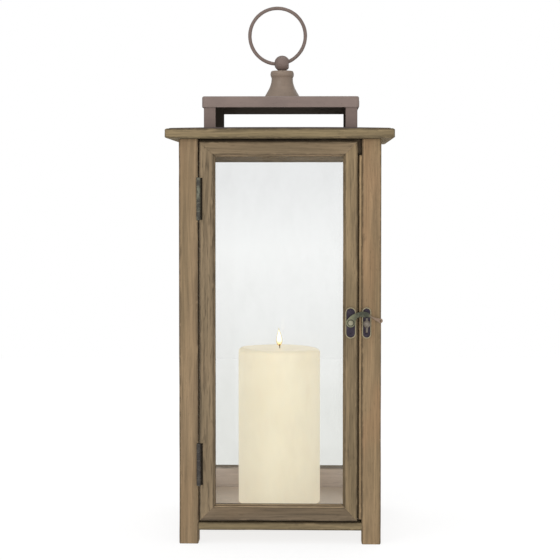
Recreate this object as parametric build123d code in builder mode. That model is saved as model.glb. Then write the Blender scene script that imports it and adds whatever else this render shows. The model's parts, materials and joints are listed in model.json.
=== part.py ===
from build123d import *
import os
from math import cos, radians, sin

# A timber candle lantern. Four posts carry a square roof, three glazed sides and
# a mitred glazed door. A folded metal handle with a ball and a hanging ring stands
# on the roof, and a pillar candle stands on the floor inside.
# Millimetres. Origin: centre of the ground under the feet. +Z up, door towards -Y.

os.makedirs("parts", exist_ok=True)


def save(builder, label):
    """Labels a finished piece and writes it as its own STEP file."""
    builder.part.label = label
    export_step(builder.part, f"parts/{label}.step")


# ---------------------------------------------------------------- driving dimensions

# Case
case_width = 177.8  # over the posts, both ways
post_side = 17.0
post_top = 357.4
edge_ease = 0.8  # rounding of the timber's long edges
board_bottom = 12.0  # the posts run below the bottom board as feet
board_thick = 6.9
board_inset = 1.0  # the bottom board stops short of the posts' faces
floor_thick = 3.1
floor_side = 143.0
rail_thick = 15.0
bottom_rail_height = 22.0
top_rail_height = 17.9
groove_width = 2.4
groove_depth = 4.0
pane_thick = 2.0
pane_play = 0.4  # between a pane's edge and the foot of its groove

# Roof
roof_side = 200.4
roof_thick = 8.6
roof_corner = 1.6
sheet_inset = 3.2
sheet_thick = 1.2
sheet_corner = 3.0
nail_radius = 1.0
nail_head_radius = 2.3
nail_head_thick = 0.9
nail_length = 32.0

# Door
door_left, door_right = -71.0, 68.2
door_bottom, door_top = 20.5, 354.9
opening_left, opening_right = -56.9, 55.3
opening_bottom, opening_top = 34.4, 341.7
door_thick = 15.0
lip_width = 1.5  # a small step round the opening
lip_setback = 3.0
lip_thick = 2.5
rebate_width = 4.0
bead_width = 3.7
bead_depth = 5.0
closing_bevel = 1.5  # lets the door's back edge pass the stop

# Stops behind the door
header_bottom = 343.0
header_depth = 14.0
stop_gap = 0.7  # between the closed door's back and the stops
stop_face = 69.4  # the stop's side that looks at the door's edge
stop_front = -87.9
stop_back = -66.4
stop_lap = 4.5  # how far the stop reaches behind the door

# Hinges, two butts with five knuckles each
hinge_x, hinge_y = -71.45, -91.3
hinge_centres = {"lower": 70.7, "upper": 304.6}
hinge_height = 37.0
leaf_thick = 0.9
leaf_gap = 0.9
leaf_back = -76.5
knuckle_radius = 2.2
knuckle_play = 0.2
pin_radius = 0.9
pin_clearance = 0.05
pin_head_radius = 1.7
knuckle_room_width = 3.0  # pocket in the door's face beside each hinge's knuckles
knuckle_room_depth = 2.4
screw_radius = 1.1
screw_head_radius = 2.2
screw_head_thick = 1.1
screw_y = -82.7
screw_spacing = 12.5
post_screw_length = 12.0
door_screw_length = 8.5

# Latch: a pivoted horn-shaped hook on the door and a ball-headed catch on the post
latch_x, latch_z = 62.1, 196.0
plate_z = 195.8
plate_height = 27.4
latch_plate_width = 9.4
catch_plate_width = 8.1
catch_x = 76.1
plate_thick = 1.0
rim_width = 0.9
rim_height = 0.5
hook_back = 1.7  # standing off the door's face
hook_thick = 2.0
eye_radius = 4.0
rivet_radius = 1.5
rivet_clearance = 0.05
rivet_boss_radius = 2.8
rivet_head_radius = 2.4
rivet_root = 8.0
catch_radius = 1.5
catch_ball_radius = 3.2
catch_ball_out = 7.2  # from the post's face to the ball's centre
catch_z = 195.3
catch_nib_top = 200.3
catch_tail_drop = 7.6  # how far below the peg the tail comes back to the plate
brad_radius = 0.6
brad_head_radius = 1.3
brad_length = 7.0
brad_spacing = 21.0

# Handle
cap_width, cap_depth = 139.9, 137.0
cap_bottom, cap_top = 385.8, 395.7
handle_sheet = 1.5
cap_corner = 3.0
leg_flange = 10.6
leg_play = 0.1
foot_screw_x, foot_screw_y = 62.2, 45.0
foot_screw_radius = 1.6
foot_screw_head = 3.2
foot_screw_head_thick = 1.8
foot_screw_length = 9.0
handle_rivet_radius = 1.6
handle_rivet_head = 2.9
handle_rivet_head_thick = 0.5
handle_rivet_z = 390.2

# Cone, ball and ring
cone_base_radius = 17.3
cone_rim = 0.6  # height of the cone's upright edge
cone_waist_radius, cone_waist_z = 12.8, 405.1
cone_neck_radius = 9.9
cone_neck_z = 414.8
collar_radius = 10.9
collar_bottom, collar_top = 416.4, 422.8
stud_radius = 2.5
stud_bottom, stud_top = 388.6, 426.0
stud_chamfer = 0.5
nut_flats = 8.0
nut_thick = 4.0
ball_radius = 7.4
ball_z = 429.7
ball_hole_radius = 2.1  # at the middle of the cross hole
ball_hole_mouth = 4.4  # the hole widens to this at its two ends
ring_wire_radius = 1.7
ring_radius = 25.8
ring_lean = 9.6  # degrees, the ring hangs in its hole leaning to the left

# Candle
candle_x = -2.7
candle_radius = 38.1
candle_top = 166.0
candle_edge = 3.2
candle_dish_radius = 21.0
candle_dish_depth = 1.4
wick_radius = 0.9
wick_bottom, wick_top = 140.0, 173.0

# ---------------------------------------------------------------- derived places

half_case = case_width / 2
inner = half_case - post_side  # inner faces of the posts and the rails
post_centre = half_case - post_side / 2
board_top = board_bottom + board_thick
floor_top = board_top + floor_thick
bottom_rail_top = board_top + bottom_rail_height
top_rail_bottom = post_top - top_rail_height
pane_offset = inner + rail_thick / 2
roof_top = post_top + roof_thick
sheet_top = roof_top + sheet_thick
door_back = -half_case + door_thick
stop_plane = door_back + stop_gap
glass_depth = lip_setback + lip_thick

door_face = Plane.XZ.offset(half_case)  # X to the right, Z up, depth towards -Y

# Each glazed side: a plane at the middle of its rails, running along the side.
sides = {
    "left": Plane(origin=(-pane_offset, 0, 0), x_dir=(0, 1, 0), z_dir=(0, 0, 1)),
    "right": Plane(origin=(pane_offset, 0, 0), x_dir=(0, 1, 0), z_dir=(0, 0, 1)),
    "back": Plane(origin=(0, pane_offset, 0), x_dir=(1, 0, 0), z_dir=(0, 0, 1)),
}
corners = {
    "front_left": (-1, -1),
    "front_right": (1, -1),
    "back_left": (-1, 1),
    "back_right": (1, 1),
}

# ---------------------------------------------------------------- fasteners let into the timber

# Nails down through the roof board into the tops of the posts.
with BuildPart() as roof_nails:
    for side_x, side_y in corners.values():
        with BuildSketch(Plane.XY.offset(roof_top)):
            with Locations((side_x * post_centre, side_y * post_centre)):
                Circle(nail_head_radius)
        extrude(amount=-nail_head_thick)
        with BuildSketch(Plane.XY.offset(roof_top - nail_head_thick)):
            with Locations((side_x * post_centre, side_y * post_centre)):
                Circle(nail_radius)
        extrude(amount=nail_head_thick - nail_length)
save(roof_nails, "roof_nails")

# Countersunk hinge screws: three into the post and three into the door at each hinge.
hinge_screws = {}
for wood, side, length in (("post", -1, post_screw_length), ("door", 1, door_screw_length)):
    surface = hinge_x + side * leaf_gap / 2
    with BuildPart() as screws:
        for centre_z in hinge_centres.values():
            for step in (-1, 0, 1):
                seat = Plane(
                    origin=(surface, screw_y, centre_z + step * screw_spacing),
                    x_dir=(0, 1, 0),
                    z_dir=(side, 0, 0),
                )
                with BuildSketch(seat):
                    Circle(screw_head_radius)
                with BuildSketch(seat.offset(screw_head_thick)):
                    Circle(screw_radius)
                loft()
                with BuildSketch(seat.offset(screw_head_thick)):
                    Circle(screw_radius)
                extrude(amount=length - screw_head_thick)
    save(screws, f"hinge_screws_{wood}")
    hinge_screws[wood] = screws

# Dome-headed brads that hold the two latch plates.
plates = {"latch": (latch_x, latch_plate_width), "catch": (catch_x, catch_plate_width)}
plate_brads = {}
for name, (plate_x, width) in plates.items():
    with BuildPart() as brads:
        for step in (-0.5, 0.5):
            brad_z = plate_z + step * brad_spacing
            with BuildSketch(door_face.offset(plate_thick)):
                with Locations((plate_x, brad_z)):
                    Circle(brad_radius)
            extrude(amount=-brad_length)
            with BuildSketch(door_face.offset(plate_thick)):
                with Locations((plate_x, brad_z)):
                    Circle(brad_head_radius)
            extrude(amount=rim_height)
        fillet(brads.faces().sort_by(Axis.Y)[:2].edges(), rim_height * 0.8)
    save(brads, f"{name}_brads")
    plate_brads[name] = brads

# Round-headed screws through the handle's feet into the roof.
foot_thick_top = sheet_top + handle_sheet
with BuildPart() as handle_screws:
    with BuildSketch(Plane.XY.offset(foot_thick_top)):
        with GridLocations(2 * foot_screw_x, 2 * foot_screw_y, 2, 2):
            Circle(foot_screw_head)
    extrude(amount=foot_screw_head_thick)
    fillet(handle_screws.faces().sort_by(Axis.Z)[-4:].edges(), foot_screw_head_thick * 0.7)
    with BuildSketch(Plane.XY.offset(foot_thick_top)):
        with GridLocations(2 * foot_screw_x, 2 * foot_screw_y, 2, 2):
            Circle(foot_screw_radius)
    extrude(amount=-foot_screw_length)
save(handle_screws, "handle_screws")

# ---------------------------------------------------------------- case

for corner, (side_x, side_y) in corners.items():
    with BuildPart() as post:
        with BuildSketch(Plane.XY):
            with Locations((side_x * post_centre, side_y * post_centre)):
                RectangleRounded(post_side, post_side, edge_ease)
        extrude(amount=post_top)
        chamfer(post.faces().sort_by(Axis.Z)[0].edges(), edge_ease)
        # Grooves for the panes and the rails' tongues.
        groove_centre = inner + groove_depth / 2
        with BuildSketch(Plane.XY.offset(board_top)):
            with Locations((side_x * pane_offset, side_y * groove_centre)):
                Rectangle(groove_width, groove_depth)
            if side_y > 0:
                with Locations((side_x * groove_centre, pane_offset)):
                    Rectangle(groove_depth, groove_width)
        extrude(amount=post_top - board_top, mode=Mode.SUBTRACT)
        if corner == "front_left":
            # Shallow mortises for the hinge leaves.
            for centre_z in hinge_centres.values():
                with BuildSketch(Plane.XY.offset(centre_z - hinge_height / 2)):
                    with Locations((-inner, (leaf_back - half_case) / 2)):
                        Rectangle(2 * leaf_thick, half_case + leaf_back)
                extrude(amount=hinge_height, mode=Mode.SUBTRACT)
            add(hinge_screws["post"].part, mode=Mode.SUBTRACT)
        if corner == "front_right":
            add(plate_brads["catch"].part, mode=Mode.SUBTRACT)
            with BuildSketch(door_face):
                with Locations((catch_x, catch_z)):
                    Circle(catch_radius)
            extrude(amount=-rivet_root, mode=Mode.SUBTRACT)
        add(roof_nails.part, mode=Mode.SUBTRACT)
    save(post, f"post_{corner}")

rail_length = 2 * inner
tongue_length = rail_length + 2 * (groove_depth - pane_play)
for side, middle in sides.items():
    along = Axis.X if side == "back" else Axis.Y

    with BuildPart() as bottom_rail:
        with BuildSketch(middle.offset(board_top)):
            Rectangle(rail_length, rail_thick)
        extrude(amount=bottom_rail_height)
        fillet(bottom_rail.edges().filter_by(along), edge_ease)
        with BuildSketch(middle.offset(board_top)):
            Rectangle(tongue_length, groove_width)
        extrude(amount=bottom_rail_height)
        with BuildSketch(middle.offset(bottom_rail_top - groove_depth)):
            Rectangle(tongue_length, groove_width)
        extrude(amount=groove_depth, mode=Mode.SUBTRACT)
    save(bottom_rail, f"bottom_rail_{side}")

    with BuildPart() as top_rail:
        with BuildSketch(middle.offset(top_rail_bottom)):
            Rectangle(rail_length, rail_thick)
        extrude(amount=top_rail_height)
        fillet(top_rail.edges().filter_by(along), edge_ease)
        with BuildSketch(middle.offset(top_rail_bottom)):
            Rectangle(tongue_length, groove_width)
        extrude(amount=top_rail_height)
        with BuildSketch(middle.offset(top_rail_bottom)):
            Rectangle(tongue_length, groove_width)
        extrude(amount=groove_depth, mode=Mode.SUBTRACT)
    save(top_rail, f"top_rail_{side}")

    with BuildPart() as pane:
        with BuildSketch(middle.offset(bottom_rail_top - groove_depth + pane_play)):
            Rectangle(tongue_length, pane_thick)
        extrude(amount=top_rail_bottom - bottom_rail_top + 2 * (groove_depth - pane_play))
    save(pane, f"glass_{side}")

with BuildPart() as bottom_board:
    with BuildSketch(Plane.XY.offset(board_bottom)):
        Rectangle(case_width - 2 * board_inset, case_width - 2 * board_inset)
        with GridLocations(2 * post_centre, 2 * post_centre, 2, 2):
            Rectangle(post_side, post_side, mode=Mode.SUBTRACT)
    extrude(amount=board_thick)
    fillet(bottom_board.edges().filter_by(Axis.Z, reverse=True), edge_ease)
save(bottom_board, "bottom_board")

with BuildPart() as floor_plate:
    with BuildSketch(Plane.XY.offset(board_top)):
        Rectangle(floor_side, floor_side)
    extrude(amount=floor_thick)
    chamfer(floor_plate.faces().sort_by(Axis.Z)[-1].edges(), edge_ease)
save(floor_plate, "floor_plate")

with BuildPart() as front_header:
    with BuildSketch(Plane.XY.offset(header_bottom)):
        with Locations((0, stop_plane + header_depth / 2)):
            Rectangle(2 * inner, header_depth)
    extrude(amount=post_top - header_bottom)
    chamfer(front_header.edges().filter_by(Axis.X).group_by(Axis.Z)[0], edge_ease)
save(front_header, "front_header")

with BuildPart() as door_stop:
    with BuildSketch(Plane.XY.offset(floor_top)):
        with BuildLine():
            Polyline(
                (inner, stop_front),
                (stop_face, stop_front),
                (stop_face, stop_plane),
                (stop_face - stop_lap, stop_plane),
                (stop_face - stop_lap, stop_back),
                (inner, stop_back),
                close=True,
            )
        make_face()
    extrude(amount=header_bottom - floor_top)
save(door_stop, "door_stop")

# ---------------------------------------------------------------- roof

with BuildPart() as roof_board:
    with BuildSketch(Plane.XY.offset(post_top)):
        RectangleRounded(roof_side, roof_side, roof_corner)
    extrude(amount=roof_thick)
    fillet(roof_board.edges().filter_by(Axis.Z, reverse=True), edge_ease)
    add(roof_nails.part, mode=Mode.SUBTRACT)
    add(handle_screws.part, mode=Mode.SUBTRACT)
save(roof_board, "roof_board")

with BuildPart() as roof_sheet:
    with BuildSketch(Plane.XY.offset(roof_top)):
        RectangleRounded(roof_side - 2 * sheet_inset, roof_side - 2 * sheet_inset, sheet_corner)
    extrude(amount=sheet_thick)
    add(handle_screws.part, mode=Mode.SUBTRACT)
save(roof_sheet, "roof_sheet")

# ---------------------------------------------------------------- door


def door_outline(spread):
    """The door's opening as a centre and a size, grown by spread on every side."""
    width = opening_right - opening_left + 2 * spread
    height = opening_top - opening_bottom + 2 * spread
    centre = ((opening_left + opening_right) / 2, (opening_bottom + opening_top) / 2)
    return centre, width, height


def opening_rectangle(spread, mode=Mode.ADD):
    """Draws the door's opening, grown by spread, in the sketch that is open."""
    centre, width, height = door_outline(spread)
    with Locations(centre):
        Rectangle(width, height, mode=mode)


def door_rectangle():
    """Draws the door's outside in the sketch that is open."""
    with Locations(((door_left + door_right) / 2, (door_bottom + door_top) / 2)):
        Rectangle(door_right - door_left, door_top - door_bottom)


# The moulded frame as one ring, which the mitres then divide.
with BuildPart() as door_ring:
    with BuildSketch(door_face):
        door_rectangle()
        opening_rectangle(lip_width, Mode.SUBTRACT)
    extrude(amount=-door_thick)
    chamfer(door_ring.faces().sort_by(Axis.Y)[0].outer_wire().edges(), edge_ease)
    back_edges = door_ring.faces().sort_by(Axis.Y)[-1].outer_wire().edges()
    chamfer(back_edges.sort_by(Axis.X)[-1], closing_bevel)
    with BuildSketch(door_face.offset(-lip_setback)):
        opening_rectangle(2 * lip_width)
        opening_rectangle(0, Mode.SUBTRACT)
    extrude(amount=-lip_thick)
    with BuildSketch(door_face.offset(-glass_depth)):
        opening_rectangle(rebate_width)
    extrude(amount=glass_depth - door_thick, mode=Mode.SUBTRACT)

with BuildPart() as bead_ring:
    with BuildSketch(door_face.offset(-glass_depth - pane_thick)):
        opening_rectangle(rebate_width)
        opening_rectangle(rebate_width - bead_width, Mode.SUBTRACT)
    extrude(amount=-bead_depth)
    inner_wire = bead_ring.faces().sort_by(Axis.Y)[-1].inner_wires()[0]
    chamfer(inner_wire.edges(), bead_width / 2)

# One mitred corner-to-corner wedge for each member of the frame.
outer = {
    "bl": (door_left, door_bottom),
    "br": (door_right, door_bottom),
    "tl": (door_left, door_top),
    "tr": (door_right, door_top),
}
mouth = {
    "bl": (opening_left, opening_bottom),
    "br": (opening_right, opening_bottom),
    "tl": (opening_left, opening_top),
    "tr": (opening_right, opening_top),
}
members = {
    "stile_hinge": (outer["bl"], outer["tl"], mouth["tl"], mouth["bl"]),
    "stile_latch": (outer["br"], outer["tr"], mouth["tr"], mouth["br"]),
    "rail_top": (outer["tl"], outer["tr"], mouth["tr"], mouth["tl"]),
    "rail_bottom": (outer["bl"], outer["br"], mouth["br"], mouth["bl"]),
}
for member, wedge in members.items():
    with BuildPart() as door_member:
        add(door_ring.part)
        with BuildSketch(door_face):
            Polygon(*wedge, align=None)
        extrude(amount=-door_thick, mode=Mode.INTERSECT)
        if member == "stile_hinge":
            for centre_z in hinge_centres.values():
                with BuildSketch(Plane.XY.offset(centre_z - hinge_height / 2)):
                    with Locations((door_left, (leaf_back - half_case) / 2)):
                        Rectangle(2 * leaf_thick, half_case + leaf_back)
                    with Locations((door_left, -half_case)):
                        Rectangle(2 * knuckle_room_width, 2 * knuckle_room_depth)
                extrude(amount=hinge_height, mode=Mode.SUBTRACT)
            add(hinge_screws["door"].part, mode=Mode.SUBTRACT)
        if member == "stile_latch":
            add(plate_brads["latch"].part, mode=Mode.SUBTRACT)
            with BuildSketch(door_face):
                with Locations((latch_x, latch_z)):
                    Circle(rivet_radius)
            extrude(amount=-rivet_root, mode=Mode.SUBTRACT)
    save(door_member, f"door_{member}")

    with BuildPart() as door_bead:
        add(bead_ring.part)
        with BuildSketch(door_face):
            Polygon(*wedge, align=None)
        extrude(amount=-door_thick, mode=Mode.INTERSECT)
    save(door_bead, f"door_bead_{member}")

with BuildPart() as door_glass:
    with BuildSketch(door_face.offset(-glass_depth)):
        opening_rectangle(rebate_width - pane_play)
    extrude(amount=-pane_thick)
save(door_glass, "door_glass")

# ---------------------------------------------------------------- hinges

knuckle_height = hinge_height / 5
leaf_knuckles = {"post": (-1, (0, 2, 4)), "door": (1, (1, 3))}
for level, centre_z in hinge_centres.items():
    hinge_bottom = centre_z - hinge_height / 2

    for wood, (side, own_knuckles) in leaf_knuckles.items():
        leaf_x = hinge_x + side * (leaf_gap + leaf_thick) / 2
        with BuildPart() as hinge_leaf:
            with BuildSketch(Plane.XY.offset(hinge_bottom)):
                with Locations((leaf_x, (hinge_y + leaf_back) / 2)):
                    Rectangle(leaf_thick, leaf_back - hinge_y)
            extrude(amount=hinge_height)
            for index in range(5):
                low = hinge_bottom + index * knuckle_height
                if index in own_knuckles:
                    with BuildSketch(Plane.XY.offset(low + knuckle_play / 2)):
                        with Locations((hinge_x, hinge_y)):
                            Circle(knuckle_radius)
                    extrude(amount=knuckle_height - knuckle_play)
                else:
                    # Room for the other leaf's knuckle.
                    with BuildSketch(Plane.XY.offset(low - knuckle_play / 2)):
                        with Locations((hinge_x, hinge_y)):
                            room = 2 * (knuckle_radius + knuckle_play / 2)
                            Rectangle(room, room)
                    extrude(amount=knuckle_height + knuckle_play, mode=Mode.SUBTRACT)
            with BuildSketch(Plane.XY.offset(hinge_bottom)):
                with Locations((hinge_x, hinge_y)):
                    Circle(pin_radius + pin_clearance)
            extrude(amount=hinge_height, mode=Mode.SUBTRACT)
            add(hinge_screws[wood].part, mode=Mode.SUBTRACT)
        save(hinge_leaf, f"hinge_{level}_leaf_{wood}")

    with BuildPart() as hinge_pin:
        with BuildSketch(Plane.XY.offset(hinge_bottom)):
            with Locations((hinge_x, hinge_y)):
                Circle(pin_radius)
        extrude(amount=hinge_height)
        for head_z, way in ((hinge_bottom, -1), (hinge_bottom + hinge_height, 1)):
            with BuildSketch(Plane.XY.offset(head_z)):
                with Locations((hinge_x, hinge_y)):
                    Circle(pin_head_radius)
            extrude(amount=way * pin_radius * 1.5)
        ends = hinge_pin.faces().sort_by(Axis.Z)
        fillet(ends[0].edges() + ends[-1].edges(), pin_radius)
    save(hinge_pin, f"hinge_{level}_pin")

# ---------------------------------------------------------------- latch

plate_holes = {
    "latch": (latch_x, latch_z, rivet_radius),
    "catch": (catch_x, catch_z, catch_radius),
}
for name, (plate_x, width) in plates.items():
    hole_x, hole_z, hole_radius = plate_holes[name]
    with BuildPart() as plate:
        with BuildSketch(door_face):
            with Locations((plate_x, plate_z)):
                SlotOverall(plate_height, width, rotation=90)
        extrude(amount=plate_thick)
        with BuildSketch(door_face):
            with Locations((plate_x, plate_z)):
                SlotOverall(plate_height, width, rotation=90)
                SlotOverall(
                    plate_height - 2 * rim_width,
                    width - 2 * rim_width,
                    rotation=90,
                    mode=Mode.SUBTRACT,
                )
        extrude(amount=plate_thick + rim_height)
        with BuildSketch(door_face):
            with Locations((hole_x, hole_z)):
                Circle(hole_radius)
        extrude(amount=plate_thick + rim_height, mode=Mode.SUBTRACT)
        add(plate_brads[name].part, mode=Mode.SUBTRACT)
    save(plate, f"{name}_plate")

# The rivet that the hook turns on: root, boss under the hook, shaft and domed head.
hook_front = hook_back + hook_thick
with BuildPart() as latch_rivet:
    with BuildSketch(door_face.offset(-rivet_root)):
        with Locations((latch_x, latch_z)):
            Circle(rivet_radius)
    extrude(amount=rivet_root + hook_front + knuckle_play)
    with BuildSketch(door_face.offset(plate_thick)):
        with Locations((latch_x, latch_z)):
            Circle(rivet_boss_radius)
    extrude(amount=hook_back - plate_thick - knuckle_play / 2)
    with BuildSketch(door_face.offset(hook_front + knuckle_play / 2)):
        with Locations((latch_x, latch_z)):
            Circle(rivet_head_radius)
    extrude(amount=rivet_radius)
    fillet(latch_rivet.faces().sort_by(Axis.Y)[0].edges(), rivet_radius * 0.8)
save(latch_rivet, "latch_rivet")

# The hook: an eye, an arched band and a thin tail that ends in a small scroll.
hook_plane = Plane(
    origin=(latch_x, -half_case - hook_back, latch_z), x_dir=(1, 0, 0), z_dir=(0, -1, 0)
)
scroll_centre = (26.0, 1.9)
scroll_radius = 2.1
with BuildPart() as latch_hook:
    with BuildSketch(hook_plane):
        with BuildLine():
            top = Spline((-3.7, 1.5), (-0.3, 5.7), (6.5, 9.2), (13.2, 9.6), (17.9, 6.6))
            tail_top = Spline(top @ 1, (21.5, 4.6), (26.0, 4.0), tangents=(top % 1, (1, 0)))
            tail_end = Line(tail_top @ 1, (25.0, 0.1))
            tail_low = Spline(tail_end @ 1, (21.6, 2.3), (18.0, 4.3), (13.5, 4.9))
            low = Spline(tail_low @ 1, (7.8, 5.3), (3.8, 1.2), tangents=(tail_low % 1, (-0.5, -1)))
            Line(low @ 1, top @ 0)
        make_face()
        Circle(eye_radius)
        with Locations(scroll_centre):
            Circle(scroll_radius)
        Circle(rivet_radius + rivet_clearance, mode=Mode.SUBTRACT)
        with Locations(scroll_centre):
            Circle(scroll_radius / 3, mode=Mode.SUBTRACT)
    extrude(amount=hook_thick)
save(latch_hook, "latch_hook")

# The catch: a peg with a ball head, a nib on top and a swan-neck tail back to the plate.
ball_centre = Vector(catch_x, -half_case - catch_ball_out, catch_z)
tail_foot = Vector(catch_x, -half_case - plate_thick, catch_z - catch_tail_drop)
tail_bend = ball_centre + Vector(0, 0.4, -catch_tail_drop * 0.7)
with BuildPart() as catch_knob:
    with BuildSketch(door_face.offset(-rivet_root)):
        with Locations((catch_x, catch_z)):
            Circle(catch_radius)
    extrude(amount=rivet_root + catch_ball_out)
    with Locations(ball_centre):
        Sphere(catch_ball_radius)
    with BuildSketch(Plane(origin=ball_centre)):
        Circle(catch_radius)
    with BuildSketch(Plane(origin=ball_centre).offset(catch_nib_top - catch_z)):
        Circle(catch_radius * 0.6)
    loft()
    with BuildLine():
        tail_line = Spline(
            ball_centre,
            tail_bend,
            tail_foot,
            tangents=(Vector(0, 0, -1), Vector(0, 1, 0)),
        )
    with BuildSketch(Plane(origin=ball_centre, z_dir=(0, 0, -1))):
        Circle(catch_radius * 0.65)
    sweep(path=tail_line)
save(catch_knob, "catch_knob")

# ---------------------------------------------------------------- handle

leg_x = cap_width / 2 - handle_sheet - leg_play  # outside of each leg's web
leg_y = cap_depth / 2 - handle_sheet - leg_play
leg_top = cap_top - handle_sheet

with BuildPart() as handle_rivets:
    for side in (-1, 1):
        head_plane = Plane(
            origin=(side * cap_width / 2, 0, handle_rivet_z), x_dir=(0, 1, 0), z_dir=(side, 0, 0)
        )
        with BuildSketch(head_plane):
            with GridLocations(2 * foot_screw_y, 0, 2, 1):
                Circle(handle_rivet_head)
        extrude(amount=handle_rivet_head_thick)
        end_faces = handle_rivets.faces().sort_by(Axis((0, 0, 0), (side, 0, 0)))[-2:]
        fillet(end_faces.edges(), handle_rivet_head_thick * 0.8)
        with BuildSketch(head_plane):
            with GridLocations(2 * foot_screw_y, 0, 2, 1):
                Circle(handle_rivet_radius)
        extrude(amount=-(3 * handle_sheet))
save(handle_rivets, "handle_rivets")

with BuildPart() as handle_cap:
    with BuildSketch(Plane.XY.offset(cap_bottom)):
        RectangleRounded(cap_width, cap_depth, cap_corner)
    extrude(amount=cap_top - cap_bottom)
    fillet(handle_cap.faces().sort_by(Axis.Z)[-1].edges(), handle_sheet)
    with BuildSketch(Plane.XY.offset(cap_bottom)):
        RectangleRounded(
            cap_width - 2 * handle_sheet, cap_depth - 2 * handle_sheet, cap_corner - handle_sheet
        )
    extrude(amount=leg_top - cap_bottom, mode=Mode.SUBTRACT)
    with BuildSketch(Plane.XY.offset(leg_top)):
        Circle(stud_radius)
    extrude(amount=handle_sheet, mode=Mode.SUBTRACT)
    add(handle_rivets.part, mode=Mode.SUBTRACT)
save(handle_cap, "handle_cap")

# Each leg is a channel: a web at the side, flanges front and back, a foot turned in below.
for leg, side in (("left", -1), ("right", 1)):
    with BuildPart() as handle_leg:
        with BuildSketch(Plane.XY.offset(sheet_top)):
            with Locations((side * (leg_x - leg_flange / 2), 0)):
                Rectangle(leg_flange, 2 * leg_y)
        extrude(amount=leg_top - sheet_top)
        outside = Axis((0, 0, 0), (side, 0, 0))
        fillet(handle_leg.edges().filter_by(Axis.Z).group_by(outside)[-1], cap_corner - handle_sheet)
        with BuildSketch(Plane.XY.offset(sheet_top + handle_sheet)):
            with Locations((side * (leg_x - handle_sheet - leg_flange / 2), 0)):
                Rectangle(leg_flange, 2 * (leg_y - handle_sheet))
        extrude(amount=leg_top - sheet_top, mode=Mode.SUBTRACT)
        add(handle_rivets.part, mode=Mode.SUBTRACT)
        add(handle_screws.part, mode=Mode.SUBTRACT)
    save(handle_leg, f"handle_leg_{leg}")

# ---------------------------------------------------------------- cone, ball and ring

with BuildPart() as finial_stud:
    with BuildSketch(Plane.XY.offset(stud_bottom)):
        Circle(stud_radius)
    extrude(amount=stud_top - stud_bottom)
    chamfer(finial_stud.faces().sort_by(Axis.Z)[0].edges(), stud_chamfer)
save(finial_stud, "finial_stud")

with BuildPart() as finial_nut:
    with BuildSketch(Plane.XY.offset(leg_top)):
        RegularPolygon(nut_flats / 2, 6, major_radius=False)
        Circle(stud_radius, mode=Mode.SUBTRACT)
    extrude(amount=-nut_thick)
save(finial_nut, "finial_nut")

with BuildPart() as handle_cone:
    with BuildSketch(Plane.XZ):
        with BuildLine():
            base = Line((stud_radius, cap_top), (cone_base_radius, cap_top))
            rim = Line(base @ 1, (cone_base_radius, cap_top + cone_rim))
            flare = Spline(
                rim @ 1,
                (cone_waist_radius, cone_waist_z),
                (cone_neck_radius, cone_neck_z),
                tangents=((-0.35, 1), (-0.05, 1)),
            )
            neck = Line(flare @ 1, (cone_neck_radius, collar_bottom))
            collar = ThreePointArc(
                neck @ 1,
                (collar_radius, (collar_bottom + collar_top) / 2),
                (cone_neck_radius, collar_top),
            )
            seat = Line(collar @ 1, (stud_radius, collar_top))
            Line(seat @ 1, base @ 0)
        make_face()
    revolve(axis=Axis.Z)
    with Locations((0, 0, ball_z)):
        Sphere(ball_radius, mode=Mode.SUBTRACT)
save(handle_cone, "handle_cone")

with BuildPart() as ball_finial:
    with Locations((0, 0, ball_z)):
        Sphere(ball_radius)
    # Cross hole for the ring, countersunk deeply from both ends.
    with BuildSketch(Plane.XZ):
        with Locations((0, ball_z)):
            Polygon(
                (-ball_radius, 0),
                (-ball_radius, ball_hole_mouth),
                (0, ball_hole_radius),
                (ball_radius, ball_hole_mouth),
                (ball_radius, 0),
                align=None,
            )
    revolve(axis=Axis((0, 0, ball_z), (1, 0, 0)), mode=Mode.SUBTRACT)
    add(finial_stud.part, mode=Mode.SUBTRACT)
save(ball_finial, "ball_finial")

# The ring's lowest point lies in the ball's hole, and the ring leans over from there.
ring_centre = Vector(
    -ring_radius * sin(radians(ring_lean)), 0, ball_z + ring_radius * cos(radians(ring_lean))
)
with BuildPart() as ring:
    with Locations(Plane(origin=ring_centre, x_dir=(1, 0, 0), z_dir=(0, -1, 0))):
        Torus(ring_radius, ring_wire_radius)
save(ring, "ring")

# ---------------------------------------------------------------- candle

with BuildPart() as wick:
    with BuildSketch(Plane.XY.offset(wick_bottom)):
        with Locations((candle_x, 0)):
            Circle(wick_radius)
    extrude(amount=wick_top - wick_bottom)
save(wick, "wick")

with BuildPart() as candle:
    with BuildSketch(Plane.XY.offset(floor_top)):
        with Locations((candle_x, 0)):
            Circle(candle_radius)
    extrude(amount=candle_top - floor_top)
    fillet(candle.faces().sort_by(Axis.Z)[-1].edges(), candle_edge)
    chamfer(candle.faces().sort_by(Axis.Z)[0].edges(), edge_ease)
    # Shallow melt dish round the wick.
    with BuildSketch(Plane.XY.offset(candle_top)):
        with Locations((candle_x, 0)):
            Circle(candle_dish_radius)
    with BuildSketch(Plane.XY.offset(candle_top - candle_dish_depth)):
        with Locations((candle_x, 0)):
            Circle(candle_dish_radius - 2 * candle_dish_depth)
    loft(mode=Mode.SUBTRACT)
    add(wick.part, mode=Mode.SUBTRACT)
save(candle, "candle")
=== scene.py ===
import json
import math

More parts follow.
